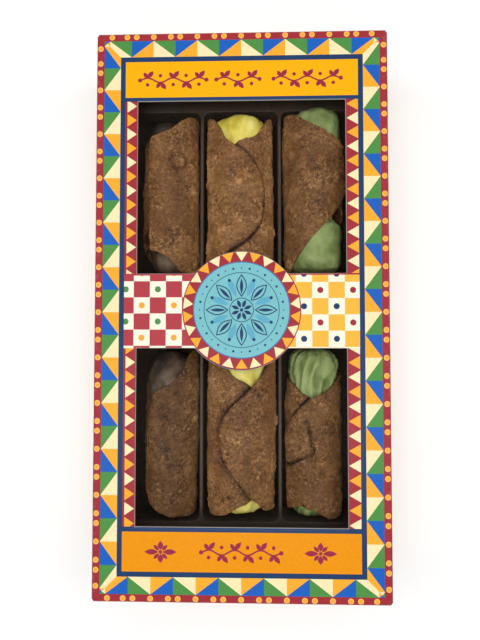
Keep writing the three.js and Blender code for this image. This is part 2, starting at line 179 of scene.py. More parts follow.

# Each cannolo, in millimetres and degrees. A turn is counted from the side opposite the seam, and
# an angle from the top towards +X.
# x, y: its middle. phase: shifts its waves and seeds its relief.
# seam: the angle where its edges meet. hand: 1 where the outer edge points to +X. lap: how far
# it runs past the seam.
# outline: points of the cut piece's edge, from its outer tip by way of its +Y end. Each is a
# turn and a distance along from the middle.
# edge_lift: how far its outer edge stands off at most. edge_step: where that edge steps back.
# browning and shade: the share by which the whole shell is darkened, partly frying, partly
# painted shade.
# crack: how dark the painted shade in the crack along its outer edge is at its -Y and its +Y
# end. shadow: how dark the painted shadow on the pastry beside the crack is.
# creases: the turn of a crease at its middle, how many degrees it turns for each millimetre
# along, its two ends, half its width, and its depth.
# blisters: the turn and the place along, the radius and the height of single blisters, or of
# pits where the height is negative.
# ends: where the filling stops. bluntness: how flat its ends are. overhang: how far the top of
# its +Y end leans out. lobes: ridges of piped cream.
# light and shade steps: how much lighter the cream is painted, as painted light and shade, at
# even steps from its -Y end to its +Y end.
# hollows: where the cream sinks in: an angle, two ends and the depth.
CANNOLI = [
    dict(name="chocolate_1", x=-36.2, y=57.3, half_width=14.6, length=82, seam=-60, hand=-1,
         lap=40, ends=(-39, 39), phase=0.4, browning=0.14, tones=(0.3, -0.55),
         blisters=[(98, 15.9, 3.5, 0.9)], hollows=[(-80, -50, -20, 3)],
         outline=[(158, 4), (155, 16), (151, 26.3), (132, 28.8), (109, 31.5), (88, 36.3),
                  (62, 40), (20, 41), (-60, 40.3), (-120, 35), (-163, 26.5), (-200, 21.8),
                  (-216, 6), (-200, -13.8), (-165, -18), (-120, -29), (-50, -39), (40, -40.8),
                  (88, -37.5), (112, -31.3), (135, -28.1), (153, -25.8), (156, -12)]),
    dict(name="lemon_1", x=-0.3, y=47.6, half_width=16.8, length=91, seam=-11, hand=1,
         lap=50, ends=(-41, 50.4), phase=1.3, browning=0.04, bluntness=18,
         outline=[(230, 10), (222, 19.5), (200, 27.6), (167, 35), (150, 42.3), (125, 48.3),
                  (60, 50.3), (-40, 50.3), (-98, 48.6), (-116, 44.5), (-140, 37.5),
                  (-180, 32.3), (-215, 18), (-228, -2), (-190, -20), (-120, -34), (-30, -40.5),
                  (70, -39), (130, -27), (168, -19.3), (205, -12), (226, -2)]),
    dict(name="pistachio_1", x=36, y=58.2, half_width=15.6, length=80, seam=84, hand=1,
         lap=45, ends=(-39, 40.4), phase=2.1, browning=0.2, bluntness=22,
         overhang=2.4, hollows=[(84, -14.5, 6, 6)],
         outline=[(178, 11), (160, 18.5), (150, 22.8), (138, 25), (122, 27.5), (100, 30.4),
                  (78, 33.6), (58, 37.3), (30, 39.8), (-20, 39.8), (-80, 36), (-130, 26),
                  (-180, 14), (-205, 2), (-185, -8), (-140, -20), (-80, -34), (-20, -39.5),
                  (30, -38.5), (45, -34.5), (65, -28.9), (86, -22.4), (109, -15.8), (132, -9),
                  (152, -2.5), (172, 4)]),
    dict(name="chocolate_2", x=-35.7, y=-57.5, half_width=13.6, length=81, seam=-78, hand=-1,
         lap=42, ends=(-38, 39), phase=3.7, browning=0.42, tones=(0, -0.04),
         creases=[(102, 0.7, -18, 14, 1.6, 0.7)],
         outline=[(142, 3), (136, 13.5), (130, 19), (113, 21.6), (94, 23.7), (78, 27.3),
                  (65, 31), (50, 37.3), (25, 40.2), (-40, 40.2), (-110, 34), (-165, 26),
                  (-205, 22.5), (-221, 14), (-205, 2), (-175, -10), (-150, -25), (-110, -36),
                  (-50, -40), (30, -40.2), (95, -38.1), (128, -35), (146, -29), (151, -20),
                  (147, -10)]),
    dict(name="lemon_2", x=-0.9, y=-55, half_width=16.7, length=86, seam=15, hand=-1,
         lap=46, ends=(-42, 40), phase=4.4, browning=0.17, crack=(0.1, 1), shadow=0.4,
         tones=(0, 0.25),
         blisters=[(-135, -32.6, 1.3, -0.8), (-146, -31, 1.3, -0.7), (154, 15.6, 2.8, 0.7)],
         outline=[(228, -3), (224, 3.5), (214, 9.3), (197, 13.9), (173, 20.8), (158, 25),
                  (142, 31), (110, 39), (40, 42.4), (-50, 41), (-100, 34.5), (-134, 30),
                  (-156, 24.7), (-186, 20.3), (-215, 8), (-226, -8), (-215, -22), (-190, -31.5),
                  (-160, -35.6), (-128, -40), (-60, -42.6), (40, -42.4), (115, -39.3),
                  (150, -37.2), (163, -33.8), (178, -30.4), (200, -22), (219, -13)]),
    dict(name="pistachio_2", x=34.8, y=-63.2, half_width=13.7, length=69.5, seam=-11, hand=-1,
         lap=56, ends=(-35.4, 46.5), phase=5.2, browning=0.27, bluntness=18, lobes=14,
         tones=(-0.05, 0.25, 0.5, 0.15),
         blisters=[(129, 8.4, 2.3, 0.9), (118, -9, 2.2, 0.9), (115, -15.5, 2.0, 0.8),
                   (118, -21.5, 2.2, 0.9), (121, -27.5, 1.8, 0.8)],
         edge_step=-5.4, edge_lift=1.2, creases=[(179, 0.8, -3.5, 13, 0.9, 1.3)],
         outline=[(238, 2), (234, 7), (222, 12), (203, 17), (178, 22.9), (160, 24.4),
                  (141, 27.1), (117, 31), (60, 34.3), (-40, 34), (-105, 30.5), (-136, 28.1),
                  (-160, 24.6), (-182, 22.4), (-215, 14), (-236, 2), (-225, -14), (-205, -25),
                  (-183, -29.9), (-166, -28.9), (-150, -28.9), (-125, -31), (-50, -34.6),
                  (50, -34.6), (125, -34.6), (148, -33.2), (163, -31.6), (176, -30.2),
                  (200, -29.2), (225, -26.5), (236, -18), (238, -8)]),
]

# ---- helpers ---------------------------------------------------------------------------------


def srgb(hex_colour, alpha=1.0):
    """A colour written as sRGB hex digits, as the linear values that Blender works with."""
    shares = [int(hex_colour[i:i + 2], 16) / 255 for i in (0, 2, 4)]
    linear = [s / 12.92 if s <= 0.04045 else ((s + 0.055) / 1.055) ** 2.4 for s in shares]
    return (*linear, alpha)


def per(size):
    """The scale of a pattern whose features are this many millimetres across."""
    return 1 / (size * MM)


def add(tree, kind, inputs=None, stops=None, **settings):
    """One node with its settings, its input values or links, and a colour ramp's stops. A node
    that is given as an input is linked by its first output."""
    node = tree.nodes.new(kind)
    for name, value in settings.items():
        setattr(node, name, value)
    for name, value in (inputs or {}).items():
        if isinstance(value, bpy.types.Node):
            value = value.outputs[0]
        if isinstance(value, bpy.types.NodeSocket):
            tree.links.new(value, node.inputs[name])
        else:
            node.inputs[name].default_value = value
    for i, (place, colour) in enumerate(stops or []):
        points = node.color_ramp.elements
        point = points[i] if i < 2 else points.new(place)
        point.position, point.color = place, srgb(colour)
    return node


def new_material(name):
    """An empty material, its tree, and the place on the piece that its patterns follow."""
    material = bpy.data.materials.new(name)
    material.use_nodes = True
    tree = material.node_tree
    tree.nodes.clear()
    return material, tree, add(tree, "ShaderNodeTexCoord").outputs["Object"]


def make_piece(name, points, faces, material, smooth=True):
    """A mesh object at the origin from points in millimetres."""
    mesh = bpy.data.meshes.new(name)
    mesh.from_pydata((np.asarray(points, float) * MM).tolist(), [], faces)
    mesh.polygons.foreach_set("use_smooth", [smooth] * len(mesh.polygons))
    mesh.materials.append(material)
    piece = bpy.data.objects.new(name, mesh)
    bpy.context.scene.collection.objects.link(piece)
    return piece


def store(piece, name, values):
    """Keeps a number for each point of a piece, for its relief and its material to read."""
    piece.data.attributes.new(name, "FLOAT", "POINT").data.foreach_set("value", values)


def settle(piece):
    """Turns a piece's modifiers into its plain mesh."""
    graph = bpy.context.evaluated_depsgraph_get()
    mesh = bpy.data.meshes.new_from_object(
        piece.evaluated_get(graph), preserve_all_data_layers=True, depsgraph=graph
    )
    piece.modifiers.clear()
    piece.data = mesh
    return piece


def grow(piece, tree, **values):
    """Runs a Geometry Nodes tree on a piece, with its inputs by name, and keeps the result."""
    modifier = piece.modifiers.new(tree.name, "NODES")
    modifier.node_group = tree
    for item in tree.interface.items_tree:
        if item.in_out == "INPUT" and item.name in values:
            modifier[item.identifier] = values[item.name]
    return settle(piece)


def hand_in(piece, slot, *nodes):
    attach(piece, "root")
    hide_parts(*nodes)


# ---- print on the board ----------------------------------------------------------------------

INKS = {
    "red": "a02e38", "navy": "1f3c66", "blue": "1b60bb", "green": "4f8f46", "cream": "f9e6b4",
    # the darker yellow is painted shade for the lower end panel
    "orange": "fbac30", "yellow": "feb102", "deep_yellow": "ec9402",
    "dot": "faa733", "dot_rim": "fdc069",
    "check_cream": "f8f2dc", "check_red": "b23c46", "check_orange": "fdb840",
    "turquoise": "79bec5", "line_blue": "2f79b5", "pale_blue": "5fa9c4",
    "ornament": "9a2943", "board_edge": "b5aea6", "board_back": "c9bfae",
}
BARE = ("board_edge", "board_back")

RED_MARGIN = 3.7
BAND = 7.7
FRAME_LINE = 2.3
CORNER_LEFTOVER = 5.1  # from the last whole tent to the corner of the frame
TENTS_ACROSS, TENTS_ALONG = 5, 11
DOT_RADIUS = 1.32
DOT_CORE = 0.68  # share of a dot inside its paler rim
DOT_OFFSET = 2.2
CORNER_DOT = 9.3


def polar(u, v, radius, angle):
    return u + radius * math.cos(angle), v + radius * math.sin(angle)


def disc(u, v, radius, steps=20):
    return [polar(u, v, radius, 2 * math.pi * i / steps) for i in range(steps)]


def rectangle(u0, v0, u1, v1):
    return [(u0, v0), (u1, v0), (u1, v1), (u0, v1)]


def leaf(u, v, angle, length, width, steps=7):
    """A pointed oval that starts at a point and runs at an angle."""
    edge = [(length * i / steps, width / 2 * math.sin(math.pi * i / steps)) for i in range(steps)]
    back = [(length - a, -b) for a, b in edge]
    c, s = math.cos(angle), math.sin(angle)
    return [(u + a * c - b * s, v + a * s + b * c) for a, b in edge + back]


def clipped(outline, region):
    """The part of a convex outline inside a convex region that runs anticlockwise."""
    for (ax, ay), (bx, by) in zip(region, region[1:] + region[:1]):
        kept = []
        side = [(bx - ax) * (v - ay) - (by - ay) * (u - ax) for u, v in outline]
        for i, here in enumerate(outline):
            last, before = outline[i - 1], side[i - 1]
            if (before > 0) != (side[i] > 0) and before != side[i]:
                t = before / (before - side[i])
                kept.append((last[0] + (here[0] - last[0]) * t, last[1] + (here[1] - last[1]) * t))
            if side[i] > 0:
                kept.append(here)
        outline = kept
        if len(outline) < 3:
            return []
    return outline


def paint_inside(paint, ink, outline, region, place=None):
    """Paints the part of an outline inside a region, moved by place() where that is given."""
    part = clipped(outline, region)
    if part:
        paint(ink, [place(*p) for p in part] if place else part)


def tent_row(paint, start, pitch, tents, inks, region, place):
    """Two-coloured tents side by side, worked out along t and up from their foot."""
    for i in range(-1, tents + 1):
        t0 = start + i * pitch
        top, t1 = t0 + pitch / 2, t0 + pitch
        outlines = (
            [(t0, 0), (top, BAND), (t0, BAND)], [(t0, 0), (top, 0), (top, BAND)],
            [(top, 0), (t1, 0), (top, BAND)], [(t1, 0), (t1, BAND), (top, BAND)],
        )
        for ink, outline in zip(inks, outlines):
            paint_inside(paint, ink, outline, region, place)


def rimmed_dot(paint, u, v):
    paint("dot_rim", disc(u, v, DOT_RADIUS))
    paint("dot", disc(u, v, DOT_RADIUS * DOT_CORE, 14))


def border(paint, middle, half_u, half_v):
    """Rows of two-coloured tents round a frame, mitred at its corners, and a dotted margin.
    half_u and half_v are the frame's half sizes, and the rows run clockwise."""
    for side, (c, s) in enumerate(((1, 0), (0, -1), (-1, 0), (0, 1))):
        upright = side % 2
        half, out = (half_v, half_u) if upright else (half_u, half_v)
        tents = TENTS_ALONG if upright else TENTS_ACROSS

        def at(t, height):
            return (middle[0] + c * t - s * (out + height), middle[1] + s * t + c * (out + height))

        start = CORNER_LEFTOVER - half
        pitch = -2 * start / tents
        mitre = [(-half, 0), (half, 0), (half + BAND, BAND), (-half - BAND, BAND)]
        tent_row(paint, start, pitch, tents, ("blue", "orange", "cream", "green"), mitre, at)
        dots = [start - CORNER_DOT, -start + CORNER_DOT]
        for i in range(tents + 1):
            edge = start + i * pitch
            dots += [edge - DOT_OFFSET, edge + DOT_OFFSET]
            dots += [edge + pitch / 2] if i < tents else []
        for t in dots:
            rimmed_dot(paint, *at(t, BAND + RED_MARGIN / 2))


def framed(paint, middle, half_u, half_v, line, field):
    """A frame line round a field."""
    u, v = middle
    paint(line, rectangle(u - half_u, v - half_v, u + half_u, v + half_v))
    a, b = half_u - FRAME_LINE, half_v - FRAME_LINE
    paint(field, rectangle(u - a, v - b, u + a, v + b))


ZIGZAG_PITCH = 6.6
ZIGZAG_MIDDLE = 29.9
ZIGZAG_BASE = 5.95
ZIGZAG_TIP = 48.45
ZIGZAG_FOOT = {-1: 52.85, 1: 53.7}
ZIGZAG_STRIP = (48, 53.8)


def zigzag(paint, side, low, high):
    """A strip of triangles that point at the window, cream and orange in turn."""
    u0, u1 = sorted(side * edge for edge in ZIGZAG_STRIP)
    strip = rectangle(u0, low, u1, high)
    paint("red", strip)
    first = math.floor((low - ZIGZAG_MIDDLE) / ZIGZAG_PITCH)
    last = math.ceil((high - ZIGZAG_MIDDLE) / ZIGZAG_PITCH)
    foot, tip = side * ZIGZAG_FOOT[side], side * ZIGZAG_TIP
    for i in range(first, last + 1):
        v = ZIGZAG_MIDDLE + i * ZIGZAG_PITCH
        ink = "cream" if (i % 2 == 0) == (side < 0) else "orange"
        triangle = [(foot, v - ZIGZAG_BASE / 2), (foot, v + ZIGZAG_BASE / 2), (tip, v)]
        paint_inside(paint, ink, triangle, strip)


CHECK = 7.4
CHECK_DOT = 1.4


def checks(paint, region, first_u, first_v, inks, dot_inks):
    """A checkerboard inside a region: first_u and first_v are a corner of one of its squares.
    The light squares carry dots whose ink changes from row to row."""
    u0, v0, u1, v1 = region
    field = rectangle(*region)
    paint(inks[0], field)
    for i in range(math.floor((u0 - first_u) / CHECK), math.ceil((u1 - first_u) / CHECK)):
        for j in range(math.floor((v0 - first_v) / CHECK), math.ceil((v1 - first_v) / CHECK)):
            if (i + j) % 2:
                continue
            u, v = first_u + i * CHECK, first_v + j * CHECK
            paint_inside(paint, inks[1], rectangle(u, v, u + CHECK, v + CHECK), field)
            dot = disc(u + CHECK / 2, v + CHECK / 2, CHECK_DOT)
            paint_inside(paint, dot_inks[j % 2], dot, field)


TEETH = 26
TOOTH_HALF = 0.42  # half a tooth's width, as a share of their spacing
DISC_RADIUS = 21.75
BADGE_MIDDLE = (0.2, 0.95)  # the print sits a little off the cut
BEADS, BEAD_RING = 32, 19.2
THIN_RINGS = ((17.3, 0.3), (5.6, 0.35))  # radius and width
PETALS = 8
PETAL_LAYERS = (  # turn in petals, start, length, width and ink
    (0.5, 6.4, 9.6, 3.0, "pale_blue"),
    (0.0, 5.9, 10.6, 4.9, "navy"),
    (0.0, 6.7, 9.0, 3.9, "turquoise"),
    (0.0, 7.2, 7.4, 1.5, "navy"),
)


def badge(paint, u, v, radius):
    """A round tab with a ring of teeth round a disc that holds a plain rosette."""
    paint("red", disc(u, v, radius, 104))
    for i in range(TEETH):
        angle = math.pi / 2 + 2 * math.pi * i / TEETH
        half = TOOTH_HALF * 2 * math.pi / TEETH
        tooth = [polar(u, v, radius - 0.5, angle + half * step / 3) for step in range(-3, 4)]
        tooth.append(polar(u, v, DISC_RADIUS + 0.6, angle))
        paint("cream" if i % 2 == 0 else "orange", tooth)
    paint("line_blue", disc(u, v, DISC_RADIUS + 0.4, 72))
    paint("turquoise", disc(u, v, DISC_RADIUS, 72))
    for i in range(BEADS):
        bead = polar(u, v, BEAD_RING, 2 * math.pi * i / BEADS)
        paint("navy", disc(*bead, 0.55 if i % 2 else 0.32, 10))
    for ring, width in THIN_RINGS:
        paint("navy", disc(u, v, ring, 56))
        paint("turquoise", disc(u, v, ring - width, 56))
    for turn, start, length, width, ink in PETAL_LAYERS:
        for i in range(PETALS):
            angle = 2 * math.pi * (i + turn) / PETALS
            paint(ink, leaf(*polar(u, v, start, angle), angle, length, width))
    for i in range(PETALS):
        angle = 2 * math.pi * (i + 0.5) / PETALS
        paint("navy", leaf(*polar(u, v, 1.1, angle), angle, 3.9, 1.7, 5))
        paint("navy", disc(*polar(u, v, 14.6, angle), 0.75, 12))
    paint("navy", disc(u, v, 0.8, 12))


SPRIG_WAVE = 6.2
STEM_HALF = 0.42


def sprig(paint, u, v, length, height):
    """A waving stem with paired leaves and berries, in one ink."""
    waves = max(2, round(length / SPRIG_WAVE))
    steps = waves * 8

    def stem(t):
        return height * 0.17 * math.sin(t * waves * math.pi)

    line = [(u + length * (i / steps - 0.5), v + stem(i / steps)) for i in range(steps + 1)]
    above = [(a, b + STEM_HALF) for a, b in line]
    below = [(a, b - STEM_HALF) for a, b in reversed(line)]
    paint("ornament", above + below)
    for i in range(waves):
        t = (i + 0.5) / waves
        foot = (u + length * (t - 0.5), v + stem(t))
        up = 1 if i % 2 == 0 else -1
        paint("ornament", leaf(*foot, up * math.radians(50), height * 0.66, 2.2))
        paint("ornament", leaf(*foot, up * math.radians(124), height * 0.5, 1.9))
        paint("ornament", disc(foot[0], v - up * height * 0.33, 0.85, 12))
    for end in (-1, 1):
        paint("ornament", disc(u + end * (length / 2 + 0.5), v, 1.0, 12))


def flower(paint, u, v, size):
    """Four leaves and four lozenges round a dot."""
    for i in range(4):
        angle = math.pi / 2 * i
        length = size * (0.62 if i % 2 else 1.0)
        paint("ornament", leaf(*polar(u, v, 0.9, angle), angle, length, 2.5))
        turned = angle + math.pi / 4
        paint("ornament", leaf(*polar(u, v, 0.9, turned), turned, size * 0.55, 1.7, 4))
    paint("ornament", disc(u, v, 0.8, 12))


WINDOW_TOP = WINDOW_SHIFT + WINDOW_OUTER_END
WINDOW_BOTTOM = WINDOW_SHIFT - WINDOW_OUTER_END
BAND_TOP = WINDOW_SHIFT + BAND_HALF_HEIGHT
BAND_BOTTOM = WINDOW_SHIFT - BAND_HALF_HEIGHT
FRAME_HALF = (HALF_WIDTH - RED_MARGIN - BAND, HALF_LENGTH - RED_MARGIN - BAND)
INNER_HALF = FRAME_HALF[0] - FRAME_LINE
# the lower yellow panel is darker, a painted shade where the light falls off towards the bottom
YELLOW_PANELS = (("yellow", 99.9, 116.8), ("deep_yellow", -116.8, -99.1))
SPRIGS = (  # middle, length and height
    (-31.6, 108.1, 30, 6.4), (-1.5, 108.1, 19, 6.4), (30.5, 108.1, 30, 6.4), (0, -108, 35, 6.8))
FLOWERS = ((-36.3, -108, 6.4), (35.5, -108, 6.4))
CHECK_FIELDS = (  # two ends, the plain line along the top, a corner of a square, and the inks
    (-INNER_HALF, 0, "check_red", 0.9, (-41.9, 6.8), ("check_red", "check_cream"),
     ("green", "dot")),
    (0, INNER_HALF, "red", 0.75, (32.3, 6.3), ("check_orange", "check_cream"),
     ("red", "navy")),
)
BAND_FOOT_LINE = 0.5


def front_print(paint):
    border(paint, (0, 0), *FRAME_HALF)
    framed(paint, (0, 0), *FRAME_HALF, "navy", "navy")
    for ink, low, high in YELLOW_PANELS:
        paint(ink, rectangle(-INNER_HALF, low, INNER_HALF, high))
    for place_and_size in SPRIGS:
        sprig(paint, *place_and_size)
    for place_and_size in FLOWERS:
        flower(paint, *place_and_size)
    for side in (-1, 1):
        zigzag(paint, side, BAND_TOP, WINDOW_TOP)
        zigzag(paint, side, WINDOW_BOTTOM, BAND_BOTTOM)
    for start, end, line, width, corner, inks, dot_inks in CHECK_FIELDS:
        checks(paint, (start, BAND_BOTTOM, end, BAND_TOP), *corner, inks, dot_inks)
        paint(line, rectangle(start, BAND_TOP - width, end, BAND_TOP))
    paint("check_cream", rectangle(0, BAND_BOTTOM, INNER_HALF, BAND_BOTTOM + BAND_FOOT_LINE))
    badge(paint, *BADGE_MIDDLE, BADGE_RADIUS)
    for side in (1, -1):
        paint("board_edge", window_outline(side, CUT_BEVEL))
        paint(None, window_outline(side, 0))


def window_outline(side, grow):
    """One window: a rectangle from the band to its far end, less the round tab."""
    radius, band = BADGE_RADIUS - grow, BAND_HALF_HEIGHT - grow
    half, end = WINDOW_HALF_WIDTH + grow, WINDOW_OUTER_END + grow
    start = math.asin(band / radius)
    steps = 26
    arc = [start + (math.pi - 2 * start) * i / steps for i in range(steps + 1)]
    outline = [(half, band), (half, end), (-half, end), (-half, band)]
    outline += [(radius * math.cos(a), radius * math.sin(a)) for a in reversed(arc)]
    return [(u, WINDOW_SHIFT + side * v) for u, v in outline]


def strip_print(paint, middle, half_across, half_along, tents, inks, upright):
    """A side wall, or an end flap where it isn't upright: tents and dots along both long
    edges, and a plain field between frame lines."""
    inner = half_across - RED_MARGIN - BAND
    end = half_along - RED_MARGIN
    start = CORNER_LEFTOVER - FRAME_HALF[upright]
    pitch = -2 * start / tents
    for side in (-1, 1):

        def place(t, height):
            off = side * (inner + height)
            u, v = (off, t) if upright else (t, off)
            return middle[0] + u, middle[1] + v

        tent_row(paint, start, pitch, tents, inks, rectangle(-end, 0, end, BAND), place)
        for i in range(-1, tents + 1):
            t0 = start + i * pitch
            for t in (t0 - DOT_OFFSET, t0 + DOT_OFFSET, t0 + pitch / 2):
                if abs(t) < end:
                    rimmed_dot(paint, *place(t, BAND + RED_MARGIN / 2))
    framed(paint, middle, *((inner, end) if upright else (end, inner)), "navy", "yellow")


# ---- carton ----------------------------------------------------------------------------------

WALL = HEIGHT
SLEEVE_START = -HALF_WIDTH - WALL + SLEEVE_GAP
BACK_START = HALF_WIDTH + WALL
BACK_END = BACK_START + 2 * HALF_WIDTH - BOARD
BLANK_END = BACK_END + GLUE_FLAP
SIDE_END = HALF_LENGTH - BOARD


def blank_print():
    """Everything printed on the flat blank, in the order in which it is laid down. u runs
    round the carton from the middle of its front, and v along it. None is a hole."""
    shapes = []

    def paint(ink, outline):
        area = sum(
            a[0] * b[1] - a[1] * b[0] for a, b in zip(outline, outline[1:] + outline[:1])
        )
        shapes.append((ink, outline if area > 0 else outline[::-1]))

    paint("red", rectangle(SLEEVE_START, -SIDE_END, BLANK_END, SIDE_END))
    depth = HEIGHT - FLAP_GAP
    gap = FLAP_SIDE_GAP
    for side in (-1, 1):
        for u0, u1, end in (
            (FLAP_INSET - HALF_WIDTH, HALF_WIDTH - FLAP_INSET, HALF_LENGTH + depth),
            (HALF_WIDTH + gap, BACK_START - gap, SIDE_END + DUST_FLAP),
            (SLEEVE_START + gap, -HALF_WIDTH - gap, SIDE_END + DUST_FLAP),
            (BACK_START + gap, BACK_END - gap, SIDE_END + INNER_FLAP),
        ):
            low, high = sorted((side * (SIDE_END - FLAP_ROOT), side * end))
            paint("red", rectangle(u0, low, u1, high))
        strip_print(paint, (0, side * (HALF_LENGTH + depth / 2)), depth / 2, HALF_WIDTH,
                    TENTS_ACROSS, ("blue", "orange", "cream", "green"), False)
    for side in (-1, 1):
        strip_print(paint, (side * (HALF_WIDTH + WALL / 2), 0), WALL / 2, SIDE_END,
                    TENTS_ALONG, ("green", "cream", "orange", "blue"), True)
    back_middle = ((BACK_START + BACK_END) / 2, 0)
    border(paint, back_middle, *FRAME_HALF)
    framed(paint, back_middle, *FRAME_HALF, "navy", "yellow")
    front_print(paint)
    return shapes


def rounded_path(corners, radius, start):
    """A function from the distance along a path of clockwise square corners to the point on
    the path with its corners rounded, and the direction that points inwards there."""
    corners = [np.array(c, float) for c in corners]
    steps = [b - a for a, b in zip(corners, corners[1:])]
    lengths = [float(np.linalg.norm(step)) for step in steps]
    ahead = [step / length for step, length in zip(steps, lengths)]
    marks = [start + sum(lengths[:i]) for i in range(len(corners))]

    def place(distance):
        for i in range(1, len(corners) - 1):
            if abs(distance - marks[i]) <= radius:
                turn = (distance - marks[i] + radius) / (2 * radius) * math.pi / 2
                inwards = math.cos(turn) * ahead[i] - math.sin(turn) * ahead[i - 1]
                centre = corners[i] + radius * (ahead[i] - ahead[i - 1])
                return centre - radius * inwards, inwards, 1.0
        i = max(k for k in range(len(steps)) if k == 0 or marks[k] <= distance)
        inwards = np.array([ahead[i][1], -ahead[i][0]])
        return corners[i] + (distance - marks[i]) * ahead[i], inwards, 0.0

    return place


SLEEVE = rounded_path(
    [(-HALF_WIDTH, SLEEVE_GAP), (-HALF_WIDTH, HEIGHT), (HALF_WIDTH, HEIGHT), (HALF_WIDTH, 0),
     (-HALF_WIDTH + BOARD, 0), (-HALF_WIDTH + BOARD, GLUE_FLAP)],
    FOLD, SLEEVE_START,
)
PANELS = ((-HALF_WIDTH, HALF_WIDTH), (HALF_WIDTH, BACK_START), (BACK_START, BACK_END),
          (SLEEVE_START, -HALF_WIDTH))


def bow(u, v):
    """How far a panel sinks in at a place of the blank."""
    for low, high in PANELS:
        if low <= u <= high:
            across = (2 * u - low - high) / (high - low)
            along = min(abs(v) / HALF_LENGTH, 1)
            return BOW * (1 - across * across) * (1 - along * along)
    return 0.0


def folded(u, v, depth):
    """The place in space of a place on the blank, at a depth below its printed face, and 1
    where it lies on a fold."""
    (x, z), inwards, on_fold = SLEEVE(u)
    front = abs(u) < HALF_WIDTH - FOLD / 2
    fold_line = HALF_LENGTH if front else SIDE_END
    end = rounded_path([(0, 0), (fold_line, 0), (fold_line, -2 * HEIGHT)], FOLD, 0)
    (y, down), (end_y, end_down), on_end = end(abs(v))
    depth += bow(u, v)
    sink = -down - depth * end_down
    way = 1 if v > 0 else -1
    place = (x + inwards[0] * sink, way * (y + depth * end_y), z + inwards[1] * sink)
    return place, max(on_fold, on_end)


def carton_piece(material):
    """The folded carton: the blank is split along the outlines of its print, folded, and
    given the thickness of its board."""
    shapes = blank_print()
    points, rings = [], []
    for _, outline in shapes:
        rings.append(list(range(len(points), len(points) + len(outline))))
        points += [Vector(p) for p in outline]
    lines = []
    reach_v = HALF_LENGTH + HEIGHT

    def cut_along(u):
        lines.append((len(points), len(points) + 1))
        points.extend((Vector((u, -reach_v)), Vector((u, reach_v))))

    def cut_across(v):
        lines.append((len(points), len(points) + 1))
        points.extend((Vector((SLEEVE_START, v)), Vector((BLANK_END, v))))

    for i in range(1, int((BLANK_END - SLEEVE_START) / GRID)):
        cut_along(SLEEVE_START + i * GRID)
    for i in range(1, int(2 * reach_v / GRID)):
        cut_across(-reach_v + i * GRID)
    for fold in (-HALF_WIDTH, HALF_WIDTH, BACK_START, BACK_END):
        for share in FOLD_CUTS:
            cut_along(fold + share * FOLD)
    for fold in (HALF_LENGTH, SIDE_END):
        for way in (-1, 1):
            for share in FOLD_CUTS:
                cut_across(way * (fold + share * FOLD))
    flat, _, triangles, _, _, owners = delaunay_2d_cdt(points, lines, rings, 0, 1e-3)

    kept, inks, window_points = [], [], set()
    for triangle, owner in zip(triangles, owners):
        if not owner:
            continue
        ink = shapes[max(owner)][0]
        if ink is None:
            window_points.update(triangle)
        else:
            kept.append(list(triangle))
            inks.append(ink)
    used = sorted({i for triangle in kept for i in triangle})
    index = {old: new for new, old in enumerate(used)}
    kept = [[index[i] for i in triangle] for triangle in kept]
    count = len(used)
    top, bottom, worn = [], [], []
    for i in used:
        u, v = flat[i]
        place, on_fold = folded(u, v, CUT_DROP if i in window_points else 0.0)
        top.append(place)
        bottom.append(folded(u, v, BOARD)[0])
        worn.append(on_fold)

    edges = {}
    for triangle in kept:
        for a, b in zip(triangle, triangle[1:] + triangle[:1]):
            edges[(a, b)] = True
    walls = [(a, a + count, b + count, b) for a, b in edges if (b, a) not in edges]
    faces = kept + [[i + count for i in reversed(t)] for t in kept] + walls
    inks += ["board_back"] * len(kept) + ["board_edge"] * len(walls)

    piece = make_piece("printed_carton", top + bottom, faces, material)
    mesh = piece.data
    ink_layer = mesh.attributes.new("ink", "FLOAT_COLOR", "CORNER")
    colours = {name: srgb(value, float(name not in BARE)) for name, value in INKS.items()}
    ink_layer.data.foreach_set(
        "color", [c for face, ink in zip(faces, inks) for _ in face for c in colours[ink]]
    )
    store(piece, "fold", worn + [0.0] * count)
    mesh.polygons.foreach_set("use_smooth", [len(face) == 3 for face in faces])
    return piece


